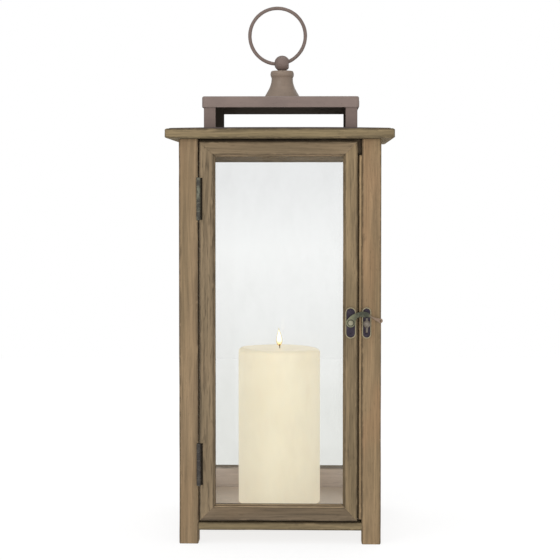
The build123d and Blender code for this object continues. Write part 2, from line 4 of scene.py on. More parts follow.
import bmesh
import bpy
import numpy as np
from mathutils import Euler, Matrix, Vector

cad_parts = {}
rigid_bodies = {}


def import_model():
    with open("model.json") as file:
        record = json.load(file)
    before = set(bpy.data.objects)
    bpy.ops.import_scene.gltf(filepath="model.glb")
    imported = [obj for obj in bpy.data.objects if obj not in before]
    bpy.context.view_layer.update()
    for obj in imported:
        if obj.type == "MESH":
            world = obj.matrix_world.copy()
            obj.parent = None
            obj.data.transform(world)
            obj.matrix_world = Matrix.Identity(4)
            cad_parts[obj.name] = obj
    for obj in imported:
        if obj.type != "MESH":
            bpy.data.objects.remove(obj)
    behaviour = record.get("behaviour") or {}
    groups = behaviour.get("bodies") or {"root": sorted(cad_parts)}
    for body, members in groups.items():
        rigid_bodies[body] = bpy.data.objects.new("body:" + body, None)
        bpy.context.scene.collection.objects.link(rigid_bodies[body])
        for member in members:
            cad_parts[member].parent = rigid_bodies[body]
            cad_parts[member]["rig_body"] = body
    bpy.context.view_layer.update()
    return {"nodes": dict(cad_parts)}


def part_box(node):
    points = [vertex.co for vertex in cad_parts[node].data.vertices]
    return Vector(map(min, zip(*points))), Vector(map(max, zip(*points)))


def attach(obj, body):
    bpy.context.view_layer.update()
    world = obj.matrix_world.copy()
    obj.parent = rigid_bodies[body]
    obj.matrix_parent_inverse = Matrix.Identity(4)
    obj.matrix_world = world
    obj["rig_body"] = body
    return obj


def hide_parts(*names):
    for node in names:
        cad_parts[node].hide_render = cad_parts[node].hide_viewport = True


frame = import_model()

# A timber candle lantern: weathered wood, a painted metal handle and ring, clear panes,
# a bronze latch, iron hinges and a lit pillar candle. Metres, in the frame of the CAD model.

MM = 0.001
X, Y, Z = 0, 1, 2
nodes = frame["nodes"]


# ---------------------------------------------------------------- numbers into shapes


def box(node):
    """Lowest and highest corner of a CAD node as two arrays."""
    low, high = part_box(node)
    return np.array(low), np.array(high)


def value_noise(points, cycles, seed):
    """Smooth noise from -1 to 1. cycles is how often it changes per metre, one number or one
    per axis. Seeds three or more apart give pieces of their own."""
    place = np.asarray(points, float) * np.asarray(cycles, float) + 100.0 + 7.31 * seed
    cell = np.floor(place).astype(np.int64)
    part = place - cell
    part = part * part * (3.0 - 2.0 * part)
    total = np.zeros(len(place))
    for corner in np.ndindex(2, 2, 2):
        n = cell + np.array(corner)
        h = (n[:, 0] * 374761393 + n[:, 1] * 668265263 + n[:, 2] * 1440662683) & 0xFFFFFFFF
        h = ((h ^ (h >> 13)) * 1274126177) & 0xFFFFFFFF
        h = (h ^ (h >> 16)) & 0xFFFF
        weight = np.prod(np.where(np.array(corner) == 1, part, 1.0 - part), axis=1)
        total += weight * (h / 32767.5 - 1.0)
    return total


def circle(count, turn=0.0):
    """Unit vectors round a circle, as pairs."""
    angles = turn + np.arange(count) * 2 * math.pi / count
    return np.stack([np.cos(angles), np.sin(angles)], axis=1)


def store(mesh, name, values):
    """Keeps one number per vertex, which a material reads by its name."""
    layer = mesh.attributes.new(name, "FLOAT", "POINT")
    layer.data.foreach_set("value", np.asarray(values, np.float32))


def mark_faces(piece, name, chosen):
    """Keeps 1 for the faces that chosen(centre, normal) picks and 0 for the others."""
    mesh = piece.data
    values = np.zeros(len(mesh.loops), np.float32)
    for face in mesh.polygons:
        if chosen(face.center, face.normal):
            values[list(face.loop_indices)] = 1.0
    layer = mesh.attributes.new(name, "FLOAT", "CORNER")
    layer.data.foreach_set("value", values)


def link_object(name, mesh):
    piece = bpy.data.objects.new(name, mesh)
    bpy.context.scene.collection.objects.link(piece)
    return piece


def finish_piece(piece, material, stands_for, sharp=40.0):
    """Shades, paints and seats a finished piece, which stands for the named CAD nodes and moves
    with their body. Only the flame stands for none."""
    mesh = piece.data
    body = nodes[stands_for[0]]["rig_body"] if stands_for else "candle"
    mesh.shade_smooth()
    mesh.set_sharp_from_angle(angle=math.radians(sharp))
    mesh.materials.clear()
    mesh.materials.append(material)
    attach(piece, body)
    if stands_for:
        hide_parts(*stands_for)
    return piece


def ring_mesh(name, rings, closed=False, attributes=None):
    """A closed surface from rings of points. Its two ends get a face each, or meet when closed."""
    rings = np.asarray(rings)
    count, per_ring, _ = rings.shape
    index = np.arange(count * per_ring).reshape(count, per_ring)
    faces = []
    for row in range(count if closed else count - 1):
        here, there = index[row], index[(row + 1) % count]
        quads = np.stack([here, np.roll(here, -1), np.roll(there, -1), there], axis=1)
        faces += quads.tolist()
    if not closed:
        faces += [index[0][::-1].tolist(), index[-1].tolist()]
    mesh = bpy.data.meshes.new(name)
    mesh.from_pydata(rings.reshape(-1, 3).tolist(), [], faces)
    for key, values in (attributes or {}).items():
        store(mesh, key, np.asarray(values).reshape(-1))
    work = bmesh.new()
    work.from_mesh(mesh)
    bmesh.ops.recalc_face_normals(work, faces=work.faces)
    work.to_mesh(mesh)
    work.free()
    return link_object(name, mesh)


def corner_arc(corner, way_in, outs, radius, convex, cut):
    """Points and normals round one corner of an outline."""
    if radius <= 0.0:
        normal = outs[0] + outs[1]
        return [(corner, normal / np.linalg.norm(normal))]
    side = 1.0 if convex else -1.0
    centre = corner - way_in * cut - outs[0] * radius * side
    arc = []
    for share in (0.0, 0.25, 0.5, 0.75, 1.0):
        normal = outs[0] * (1 - share) + outs[1] * share
        normal /= np.linalg.norm(normal)
        arc.append((centre + side * normal * radius, normal))
    return arc


def eased_outline(corners, radii, step):
    """Rounds a closed outline's corners and divides its runs.
    Gives the points, their outward normals and how near each is to an outer edge, 0 to 1."""
    edge_reach = 2.2 * MM
    corners = np.asarray(corners, float)
    count = len(corners)
    radii = np.broadcast_to(np.asarray(radii, float), (count,))
    after = np.roll(corners, -1, axis=0)
    area = np.sum(corners[:, 0] * after[:, 1] - corners[:, 1] * after[:, 0])
    turn_way = math.copysign(1.0, area)
    ways = after - corners
    ways /= np.linalg.norm(ways, axis=1)[:, None]
    outward = turn_way * np.stack([ways[:, 1], -ways[:, 0]], axis=1)
    bends = []
    for i in range(count):
        cross = turn_way * (ways[i - 1][0] * ways[i][1] - ways[i - 1][1] * ways[i][0])
        half_turn = 0.5 * math.acos(float(np.clip(ways[i - 1] @ ways[i], -1.0, 1.0)))
        bends.append((cross > 0.0, radii[i] * math.tan(half_turn)))
    points, normals, edges = [], [], []
    for i in range(count):
        convex, cut = bends[i]
        outs = (outward[i - 1], outward[i])
        for point, normal in corner_arc(corners[i], ways[i - 1], outs, radii[i], convex, cut):
            points.append(point)
            normals.append(normal)
            edges.append(1.0 if convex else 0.0)
        next_convex, next_cut = bends[(i + 1) % count]
        leave = corners[i] + ways[i] * cut
        end = corners[(i + 1) % count] - ways[i] * next_cut
        pieces = max(1, round(np.linalg.norm(end - leave) / step))
        for k in range(1, pieces):
            point = leave + (end - leave) * k / pieces
            near = [0.0]
            if convex:
                near.append(1.0 - np.linalg.norm(point - leave) / edge_reach)
            if next_convex:
                near.append(1.0 - np.linalg.norm(point - end) / edge_reach)
            points.append(point)
            normals.append(outward[i])
            edges.append(max(near))
    return np.array(points), np.array(normals), np.array(edges)


def along_grain(grain, across, along):
    """Noise cycles per metre that differ along the grain from across it."""
    cycles = np.full(3, float(across))
    cycles[grain] = along
    return cycles


def timber(name, corners, radii, axes, ends, seed, wear=1.0, step=1.1 * MM, stride=2.6 * MM,
           ease=0.45 * MM, relief=1.0, end_wear=1.0):
    """A length of timber: an outline swept along its grain, with raised grain, dents and worn
    edges. axes are the outline's two axes and the grain's. ends are the places where it starts
    and ends, or a function that gives them for each point."""
    points, normals, edges = eased_outline(corners, radii, step)
    start, end = ends(points) if callable(ends) else ends
    start = np.broadcast_to(start, (len(points),))
    end = np.broadcast_to(end, (len(points),))
    eases = [(0.0, 1.0), (0.29 * ease, 0.29), (ease, 0.0)]
    inner = max(2, round(float(np.mean(end - start)) / stride))
    stations = [(start + d, inset) for d, inset in eases]
    stations += [(start + ease + (end - start - 2 * ease) * k / inner, 0.0) for k in range(1, inner)]
    stations += [(end - d, inset) for d, inset in reversed(eases)]
    a, b, g = axes
    rings, nearness = [], []
    for along, inset in stations:
        flat = np.zeros((len(points), 3))
        flat[:, a], flat[:, b], flat[:, g] = points[:, 0], points[:, 1], along
        grain = 0.5 + 0.5 * value_noise(flat, along_grain(g, 620.0, 14.0), seed)
        swell = 0.5 + 0.5 * value_noise(flat, along_grain(g, 55.0, 9.0), seed + 1)
        knock = np.clip(value_noise(flat, along_grain(g, 90.0, 46.0), seed + 2), 0.0, 1.0) ** 1.6
        depth = relief * (0.045 * grain + 0.07 * swell) * MM + wear * 0.5 * MM * knock * edges
        depth += inset * ease
        moved = points - normals * depth[:, None]
        flat[:, a], flat[:, b] = moved[:, 0], moved[:, 1]
        rings.append(flat)
        from_end = np.minimum(along - start, end - along)
        nearness.append(np.maximum(edges, end_wear * (1.0 - from_end / (1.6 * MM))))
    return ring_mesh(name, rings, attributes={"edge": np.clip(nearness, 0.0, 1.0)})


def rectangle(low, high, a, b):
    return [(low[a], low[b]), (high[a], low[b]), (high[a], high[b]), (low[a], high[b])]


def timber_box(node, grain, seed, slot, material, radius=0.9 * MM, **options):
    """A square-sawn piece that fills a CAD node's box, with its grain along one axis."""
    low, high = box(node)
    a, b = [axis for axis in (X, Y, Z) if axis != grain]
    piece = timber(f"{node}_timber", rectangle(low, high, a, b), radius, (a, b, grain),
                   (low[grain], high[grain]), seed, **options)
    return finish_piece(piece, material, [node])


def settle(piece):
    """Applies a piece's modifiers to its mesh."""
    bpy.context.view_layer.update()
    graph = bpy.context.evaluated_depsgraph_get()
    mesh = bpy.data.meshes.new_from_object(piece.evaluated_get(graph))
    piece.modifiers.clear()
    old, piece.data = piece.data, mesh
    mesh.name = piece.name
    bpy.data.meshes.remove(old)


def carve(piece, blocks):
    """Cuts box-shaped recesses, each given by its lowest and highest corner, into a piece."""
    for low, high in blocks:
        cutter_mesh = bpy.data.meshes.new("cutter")
        work = bmesh.new()
        bmesh.ops.create_cube(work, size=1.0)
        for vert in work.verts:
            vert.co = Vector([(l + h) / 2 + c * (h - l) for l, h, c in zip(low, high, vert.co)])
        work.to_mesh(cutter_mesh)
        work.free()
        cutter = link_object("cutter", cutter_mesh)
        cut = piece.modifiers.new("recess", "BOOLEAN")
        cut.operation = "DIFFERENCE"
        cut.solver = "EXACT"
        cut.object = cutter
        settle(piece)
        bpy.data.objects.remove(cutter)
        bpy.data.meshes.remove(cutter_mesh)


def rounded_rectangle(half_x, half_y, radius, height):
    """One ring of points round a rectangle with round corners, always with the same count."""
    arc, run = 6, 26
    radius = max(radius, 0.02 * MM)
    inner = np.array([half_x - radius, half_y - radius])
    ring = []
    for sx, sy, turn in ((1, 1, 0.0), (-1, 1, 90.0), (-1, -1, 180.0), (1, -1, 270.0)):
        centre = inner * (sx, sy)
        for k in range(arc + 1):
            angle = math.radians(turn + 90.0 * k / arc)
            ring.append(centre + radius * np.array([math.cos(angle), math.sin(angle)]))
        goal = inner * (-sy, sx) + radius * np.array([math.cos(angle), math.sin(angle)])
        here = ring[-1]
        ring += [here + (goal - here) * k / run for k in range(1, run)]
    return [(x, y, height) for x, y in ring]


def pan(name, levels, half_x, half_y, radius, seed, dent):
    """A folded or sawn slab from rounded rectangles. levels are pairs of inset and height."""
    rings = np.array([
        rounded_rectangle(half_x - inset, half_y - inset, radius - inset, height)
        for inset, height in levels
    ])
    flat = rings.reshape(-1, 3)
    wobble = 0.5 + 0.5 * value_noise(flat, 24.0, seed)
    flat[:, 0] *= 1.0 - dent * wobble / half_x
    flat[:, 1] *= 1.0 - dent * wobble / half_y
    return ring_mesh(name, flat.reshape(rings.shape))


def level_ring(centre, radius, height, count, turn=0.0):
    """A level ring of points about an upright axis."""
    ring = np.full((count, 3), height)
    ring[:, :2] = centre[:2] + radius * circle(count, turn)
    return ring


def places(mesh):
    """A mesh's vertices as an array."""
    flat = np.zeros(len(mesh.vertices) * 3)
    mesh.vertices.foreach_get("co", flat)
    return flat.reshape(-1, 3)


def curvature(piece, gain):
    """Stores as "edge" how strongly a fine mesh bends outwards at each vertex."""
    mesh = piece.data
    place = places(mesh)
    normal = np.zeros(len(mesh.vertices) * 3)
    mesh.vertices.foreach_get("normal", normal)
    ends = np.zeros(len(mesh.edges) * 2, np.int64)
    mesh.edges.foreach_get("vertices", ends)
    ends = ends.reshape(-1, 2)
    here, there = np.concatenate([ends, ends[:, ::-1]]).T
    links = np.maximum(np.bincount(here, minlength=len(place)), 1)

    def around(values):
        """The mean of each vertex's neighbours."""
        return np.bincount(here, values[there], len(place)) / links

    mean = np.stack([around(place[:, axis]) for axis in (X, Y, Z)], axis=1)
    bend = np.einsum("ij,ij->i", normal.reshape(-1, 3), place - mean)
    for _ in range(2):
        bend = 0.5 * bend + 0.5 * around(bend)
    store(mesh, "edge", np.clip(0.5 + gain * bend / MM, 0.0, 1.0))


def softened(node, voxel, rounds, material, gain=12.0, marks=None, squeeze=None):
    """A finely remeshed copy of a CAD piece, its edges rounded as cast or pressed metal is.
    marks names what to store from the vertices' places, and squeeze may move them."""
    weld_reach = 0.002 * MM
    mesh = nodes[node].data.copy()
    work = bmesh.new()
    work.from_mesh(mesh)
    bmesh.ops.remove_doubles(work, verts=work.verts, dist=weld_reach)
    work.to_mesh(mesh)
    work.free()
    piece = link_object(f"{node}_metal", mesh)
    remesh = piece.modifiers.new("even", "REMESH")
    remesh.mode = "VOXEL"
    remesh.voxel_size = voxel
    smooth = piece.modifiers.new("soft", "SMOOTH")
    smooth.factor = 0.5
    smooth.iterations = rounds
    settle(piece)
    place = np.clip(places(piece.data), *box(node))
    if squeeze:
        place = squeeze(place)
    piece.data.vertices.foreach_set("co", place.reshape(-1))
    curvature(piece, gain)
    for key, mark in (marks or {}).items():
        store(piece.data, key, mark(place))
    return finish_piece(piece, material, [node], sharp=180.0)


# ---------------------------------------------------------------- materials


def srgb(red, green, blue):
    """A colour given as it looks on a screen, 0 to 255, in linear values."""
    values = [min(v, 255.0) / 255.0 for v in (red, green, blue)]
    return tuple(v / 12.92 if v <= 0.04045 else ((v + 0.055) / 1.055) ** 2.4 for v in values) + (1.0,)


def scaled(tone, factor):
    """The same hue, lighter or darker."""
    return srgb(*(v * factor for v in tone))


class Paint:
    """Builds one material, node by node. Its colour is what has been laid on so far."""

    def __init__(self, name, **values):
        self.material = bpy.data.materials.new(name)
        self.material.use_nodes = True
        self.tree = self.material.node_tree
        self.shader = self.tree.nodes["Principled BSDF"]
        self.colour, self.shift = None, (0.0, 0.0, 0.0)
        for key, value in values.items():
            self.shader.inputs[key.replace("_", " ")].default_value = value

    def feed(self, value, socket):
        """Links a node's output to a socket, or sets the socket to a plain value."""
        if isinstance(value, bpy.types.NodeSocket):
            self.tree.links.new(value, socket)
        elif value is not None:
            socket.default_value = value

    def add(self, kind, inputs, output=0, **settings):
        """Adds a node with its settings and inputs, and gives one of its outputs."""
        node = self.tree.nodes.new(f"ShaderNode{kind}")
        for key, value in settings.items():
            setattr(node, key, value)
        for key, value in inputs.items():
            self.feed(value, node.inputs[key])
        return node.outputs[output]

    def coords(self, stretch):
        place = self.add("TexCoord", {}, "Object")
        return self.add("Mapping", {"Vector": place, "Scale": stretch, "Location": self.shift})

    def noise(self, scale, detail, roughness, distortion=0.0, stretch=(1.0, 1.0, 1.0)):
        inputs = {"Vector": self.coords(stretch), "Scale": scale, "Detail": detail,
                  "Roughness": roughness, "Distortion": distortion}
        return self.add("TexNoise", inputs, "Fac")

    def cells(self, scale, stretch=(1.0, 1.0, 1.0)):
        return self.add("TexVoronoi", {"Vector": self.coords(stretch), "Scale": scale}, "Distance")

    def span(self, value, low, high, out_low=0.0, out_high=1.0):
        inputs = {"Value": value, "From Min": low, "From Max": high, "To Min": out_low,
                  "To Max": out_high}
        return self.add("MapRange", inputs, "Result", interpolation_type="SMOOTHSTEP")

    def ramp(self, value, stops):
        node = self.tree.nodes.new("ShaderNodeValToRGB")
        self.feed(value, node.inputs["Fac"])
        elements = node.color_ramp.elements
        while len(elements) < len(stops):
            elements.new(0.5)
        for element, (position, colour) in zip(elements, stops):
            element.position = position
            element.color = colour
        return node.outputs["Color"]

    def mix(self, share, first, second, blend="MIX"):
        inputs = {0: share, 6: first, 7: second}
        return self.add("Mix", inputs, 2, data_type="RGBA", blend_type=blend, clamp_factor=True)

    def lay(self, share, colour, blend="MIX"):
        """Lays a share of a colour over what is there."""
        self.colour = self.mix(share, self.colour, colour, blend)

    def calc(self, operation, first, second):
        return self.add("Math", {0: first, 1: second}, operation=operation)

    def times(self, first, second):
        return self.calc("MULTIPLY", first, second)

    def grey(self, value):
        """A number as a grey colour."""
        return self.add("CombineColor", {0: value, 1: value, 2: value})

    def stored(self, name):
        return self.add("Attribute", {}, "Fac", attribute_name=name)

    def height(self):
        return self.add("SeparateXYZ", {0: self.add("TexCoord", {}, "Object")}, Z)

    def bump(self, height, distance, strength):
        inputs = {"Height": height, "Distance": distance, "Strength": strength}
        return self.add("Bump", inputs, "Normal")

    def finish(self, **inputs):
        """Feeds the colour and the named inputs into the Principled shader."""
        self.feed(self.colour, self.shader.inputs["Base Color"])
        for key, value in inputs.items():
            self.feed(value, self.shader.inputs[key.replace("_", " ")])
        return self.material

    def finish_with(self, surface):
        """Puts another shader in the Principled one's place."""
        self.tree.nodes.remove(self.shader)
        self.feed(surface, self.tree.nodes["Material Output"].inputs["Surface"])
        return self.material


def wood(name, grain, tone, patch, shade, lines=0.3, dashes=0.0, shift=0.0, inner=None):
    """Weathered timber: streaks and fine fibres along the grain, soft patches, pores, dark edges,
    a painted highlight on the bottom rail's marked upper side and painted shade in the marked recess.
    tone, patch and shade are its middle, its warm and its dull colour, and inner is the pale colour of
    the faces marked as inside: partly the taupe paint seen through the door, partly painted light for
    the dim inside."""
    paint = Paint(name, Specular_IOR_Level=0.2)
    paint.shift = (shift, 0.7 * shift, 0.3 * shift)

    def along(share):
        stretch = [1.0, 1.0, 1.0]
        stretch[grain] = share
        return stretch

    streaks = paint.noise(170.0, 5.0, 0.62, 0.5, along(0.05))
    wide = paint.noise(46.0, 3.0, 0.5, 0.4, along(0.16))
    fibres = paint.noise(1250.0, 3.0, 0.6, 0.0, along(0.03))
    furrows = paint.noise(430.0, 4.0, 0.65, 0.8, along(0.045))
    pores = paint.noise(1700.0, 2.0, 0.5, 0.0, along(0.11))
    patches = paint.noise(30.0, 2.0, 0.5, 0.3, along(0.3))
    stains = paint.noise(75.0, 4.0, 0.6, 0.0, along(0.5))
    stops = [(0.30, 0.78), (0.43, 0.91), (0.52, 1.0), (0.62, 1.09), (0.74, 0.98)]
    paint.colour = paint.ramp(streaks, [(at, scaled(tone, factor)) for at, factor in stops])
    paint.lay(paint.span(patches, 0.50, 0.68, 0.0, 0.6), srgb(*patch))
    paint.lay(paint.span(wide, 0.38, 0.66, 0.34, 0.0), srgb(*shade))
    # painted light: the marked inside faces take the pale inner colour, partly the taupe paint and
    # partly painted light for the dim inside
    if inner:
        paint.lay(paint.stored("inside"), srgb(*inner))
    paint.lay(1.0, paint.grey(paint.span(fibres, 0.30, 0.70, 0.86, 1.08)), "MULTIPLY")
    furrow = paint.span(furrows, 0.545, 0.66, 0.0, lines)
    paint.lay(furrow, scaled(tone, 0.52))
    pore = paint.span(pores, 0.62, 0.72, 0.0, 0.34)
    paint.lay(pore, scaled(tone, 0.5))
    strokes = paint.noise(820.0, 2.0, 0.5, 0.3, along(0.055))
    dash = paint.span(strokes, 0.56, 0.64, 0.0, dashes)
    paint.lay(dash, scaled(tone, 0.42))
    paint.lay(paint.span(stains, 0.66, 0.74, 0.0, 0.4), scaled(tone, 0.6))
    knots = paint.cells(21.0, along(0.42))
    paint.lay(paint.span(knots, 0.045, 0.10, 0.6, 0.0), scaled(tone, 0.5))
    edge = paint.stored("edge")
    scuffs = paint.noise(210.0, 3.0, 0.6, 0.0, along(0.35))
    rim = paint.times(paint.span(edge, 0.55, 1.0), paint.span(scuffs, 0.34, 0.56, 0.35, 1.0))
    paint.lay(paint.times(rim, 0.7), scaled(tone, 0.56))
    rubbed = paint.times(paint.span(edge, 0.25, 0.6), paint.span(scuffs, 0.57, 0.68, 0.0, 0.4))
    paint.lay(rubbed, scaled(tone, 1.16))
    # painted highlight: the marked upper side of the door's bottom rail is made paler, as if lit from
    # above
    ledge_highlight = paint.times(paint.stored("ledge_highlight"), paint.span(scuffs, 0.30, 0.55, 0.55, 1.0))
    paint.lay(ledge_highlight, srgb(206, 181, 146))
    # painted shade: the faces marked recess, in the pockets beside the hinge's knuckles, are made nearly
    # black
    paint.lay(paint.times(paint.stored("recess"), 0.97), scaled(tone, 0.34))
    relief = paint.calc("SUBTRACT", paint.times(fibres, 0.5), paint.times(furrow, 0.9))
    relief = paint.calc("SUBTRACT", relief, paint.times(paint.calc("ADD", pore, dash), 0.6))
    relief = paint.calc("ADD", relief, paint.times(streaks, 0.4))
    normal = paint.bump(relief, 0.35 * MM, 0.6)
    rough = paint.span(paint.calc("ADD", fibres, patches), 0.7, 1.3, 0.68, 0.90)
    return paint.finish(Roughness=rough, Normal=normal)


def painted_metal(name, tone):
    """Paint on sheet metal: soft mottling, a fine stipple, rubbed edges and one greyer tone on the faces
    marked inside, a faint painted shade under the cap.
    """
    paint = Paint(name, Specular_IOR_Level=0.55)
    clouds = paint.noise(34.0, 4.0, 0.6)
    flecks = paint.noise(520.0, 3.0, 0.6)
    stipple = paint.noise(1500.0, 2.0, 0.5)
    brushed = paint.noise(260.0, 3.0, 0.6, 0.0, (0.12, 0.12, 1.0))
    paint.colour = paint.mix(paint.span(clouds, 0.36, 0.64), srgb(*tone), scaled(tone, 1.07))
    paint.lay(paint.span(brushed, 0.45, 0.70, 0.0, 0.35), scaled(tone, 0.91))
    paint.lay(paint.span(flecks, 0.64, 0.75, 0.0, 0.5), scaled(tone, 0.62))
    edge = paint.stored("edge")
    worn = paint.times(paint.span(edge, 0.62, 0.9), paint.span(flecks, 0.42, 0.60, 0.15, 0.75))
    paint.lay(worn, scaled(tone, 1.22))
    paint.lay(paint.span(edge, 0.10, 0.44, 0.55, 0.0), scaled(tone, 0.5))
    # the faces marked inside, under the cap and in the legs' channels, take one greyer tone; under the
    # cap it is a faint painted shade
    paint.lay(paint.stored("inside"), srgb(112, 101, 90))
    relief = paint.calc("ADD", paint.times(stipple, 0.5), paint.times(clouds, 1.2))
    normal = paint.bump(relief, 0.16 * MM, 0.5)
    rough = paint.span(paint.calc("ADD", clouds, flecks), 0.7, 1.3, 0.36, 0.54)
    return paint.finish(Roughness=rough, Normal=normal)


def aged_metal(name, base, bloom, bright, bloom_range=(0.40, 0.62), metallic=0.3, rough=(0.34, 0.58),
               tints=()):
    """Old hardware: a dark ground, a bloom of patina in patches and bright rubbed edges.
    tints are pairs of a stored mark and the colour that it gets."""
    paint = Paint(name, Metallic=metallic)
    clouds = paint.noise(150.0, 4.0, 0.65)
    grit = paint.noise(900.0, 4.0, 0.65)
    paint.colour = paint.mix(paint.span(clouds, *bloom_range), srgb(*base), srgb(*bloom))
    for mark, tint in tints:
        share = paint.times(paint.stored(mark), paint.span(grit, 0.30, 0.50, 0.6, 1.0))
        paint.lay(share, srgb(*tint))
    paint.lay(paint.span(grit, 0.58, 0.70, 0.0, 0.5), srgb(30, 27, 25))
    edge = paint.stored("edge")
    rubbed = paint.times(paint.span(edge, 0.60, 0.86), paint.span(grit, 0.36, 0.56, 0.35, 0.95))
    paint.lay(rubbed, srgb(*bright))
    paint.lay(paint.span(edge, 0.12, 0.42, 0.6, 0.0), srgb(26, 23, 22))
    normal = paint.bump(paint.calc("ADD", grit, clouds), 0.12 * MM, 0.55)
    return paint.finish(Roughness=paint.span(grit, 0.35, 0.65, *rough), Normal=normal)


def plain_steel(name):
    """Dull zinc on nails, screws and nut, with fine turning marks."""
    paint = Paint(name, Metallic=0.85)
    spangle = paint.cells(420.0)
    marks = paint.noise(900.0, 3.0, 0.6, 0.0, (1.0, 1.0, 6.0))
    paint.colour = paint.mix(paint.span(spangle, 0.1, 0.6), srgb(150, 148, 143), srgb(118, 115, 110))
    paint.lay(paint.span(marks, 0.55, 0.72, 0.0, 0.5), srgb(84, 76, 68))
    normal = paint.bump(marks, 0.05 * MM, 0.5)
    return paint.finish(Roughness=paint.span(marks, 0.3, 0.7, 0.35, 0.6), Normal=normal)


def pane_glass(name):
    """Clear float glass with faint smears of dust; it lets less light through towards its top and its
    foot, a painted shade.
    """
    paint = Paint(name)
    low, high = box("door_glass")
    rise = paint.calc("DIVIDE", paint.calc("SUBTRACT", paint.height(), low[Z]), high[Z] - low[Z])
    # painted shade: the panes let less through towards their top and their foot
    tints = [(0.0, 0.936, -0.007), (0.26, 0.938, -0.006), (0.50, 0.972, 0.0), (0.72, 0.988, 0.001),
             (0.92, 0.962, 0.003)]
    tint = paint.ramp(
        rise, [(at, (share, share + 0.003, share + cool, 1.0)) for at, share, cool in tints])
    clear = paint.add("BsdfTransparent", {"Color": tint})
    gloss = paint.add("BsdfGlossy", {"Color": (0.95, 0.97, 0.97, 1.0), "Roughness": 0.03})
    dust = paint.add("BsdfDiffuse", {"Color": srgb(190, 192, 188)})
    facing = paint.add("LayerWeight", {"Blend": 0.5}, "Facing")
    sheen = paint.span(paint.calc("POWER", facing, 5.0), 0.0, 1.0, 0.017, 0.9)
    pane = paint.add("MixShader", {0: sheen, 1: clear, 2: gloss})
    smears = paint.noise(36.0, 4.0, 0.6, 0.0, (1.0, 1.0, 0.5))
    film = paint.span(smears, 0.42, 0.72, 0.004, 0.03)
    return paint.finish_with(paint.add("MixShader", {0: film, 1: pane, 2: dust}))


def candle_wax(name):
    """Cream wax: light scatters in it, with faint clouding, and a painted glow, an emission that
    brightens it all down its side and a little less on its top as painted shade.
    """
    low, high = box("candle")
    paint = Paint(name, Roughness=0.46, Specular_IOR_Level=0.35, Subsurface_Weight=0.4,
                  Subsurface_Scale=0.01, Subsurface_Radius=(1.0, 0.62, 0.34),
                  Emission_Color=srgb(255, 244, 219))
    clouds = paint.noise(26.0, 4.0, 0.55, 0.0, (1.0, 1.0, 0.6))
    veins = paint.noise(95.0, 3.0, 0.6, 0.0, (1.0, 1.0, 0.35))
    specks = paint.noise(900.0, 2.0, 0.5)
    paint.colour = paint.mix(paint.span(clouds, 0.36, 0.64), srgb(183, 175, 152), srgb(177, 167, 141))
    paint.lay(paint.span(veins, 0.50, 0.72, 0.0, 0.30), srgb(171, 155, 130))
    paint.lay(paint.span(specks, 0.68, 0.78, 0.0, 0.25), srgb(157, 143, 112))
    # painted glow: an even emission that makes the wax look lit through
    painted_glow = paint.span(paint.height(), low[Z], high[Z] - 20 * MM, 0.57, 0.55)
    # painted shade: the marked top surface glows a little less
    painted_glow = paint.times(painted_glow, paint.span(paint.stored("top"), 0.0, 1.0, 1.0, 0.98))
    normal = paint.bump(paint.calc("ADD", clouds, paint.times(specks, 0.15)), 0.5 * MM, 0.35)
    return paint.finish(Normal=normal, Emission_Strength=painted_glow)


def flame_light(name, low, high):
    """The flame's heart: amber round the wick, white in the middle, soft yellow at its tip."""
    paint = Paint(name, Roughness=1.0, Specular_IOR_Level=0.0)
    rise = paint.span(paint.height(), low, high)
    flicker = paint.noise(260.0, 2.0, 0.5, 0.0, (1.0, 1.0, 0.4))
    paint.colour = paint.ramp(rise, [
        (0.0, srgb(255, 222, 170)), (0.10, srgb(255, 244, 220)), (0.25, srgb(255, 254, 248)),
        (0.8, srgb(255, 253, 244)), (1.0, srgb(255, 248, 224)),
    ])
    power = paint.times(paint.span(rise, 0.0, 0.3, 0.9, 1.3), paint.span(flicker, 0.3, 0.7, 0.9, 1.1))
    return paint.finish(Emission_Color=paint.colour, Emission_Strength=power)


def flame_veil(name, low, high):
    """The thin outer flame: clear, with a faint peach tint low down and a yellow one above."""
    paint = Paint(name)
    rise = paint.span(paint.height(), low, high)
    flicker = paint.noise(200.0, 2.0, 0.5, 0.0, (1.0, 1.0, 0.4))
    stops = [(0.0, srgb(251, 236, 212)), (0.25, srgb(253, 247, 230)), (1.0, srgb(253, 248, 234))]
    paint.colour = paint.ramp(rise, stops)
    paint.lay(paint.span(flicker, 0.4, 0.7, 0.0, 0.3), srgb(255, 250, 230))
    return paint.finish_with(paint.add("BsdfTransparent", {"Color": paint.colour}))


def charred(name, low, high):
    """Burnt cotton: black, with braid bumps and a small ember at the top."""
    paint = Paint(name, Roughness=0.9, Emission_Color=srgb(255, 110, 40))
    braid = paint.noise(2600.0, 2.0, 0.5, 0.0, (1.0, 1.0, 0.5))
    rise = paint.span(paint.height(), low, high)
    stops = [(0.0, srgb(196, 176, 140)), (0.35, srgb(52, 38, 28)), (1.0, srgb(20, 15, 12))]
    paint.colour = paint.ramp(rise, stops)
    paint.lay(paint.span(braid, 0.45, 0.65, 0.0, 0.6), srgb(16, 12, 10))
    ember = paint.times(paint.span(rise, 0.86, 1.0), 2.0)
    return paint.finish(Normal=paint.bump(braid, 0.2 * MM, 0.8), Emission_Strength=ember)


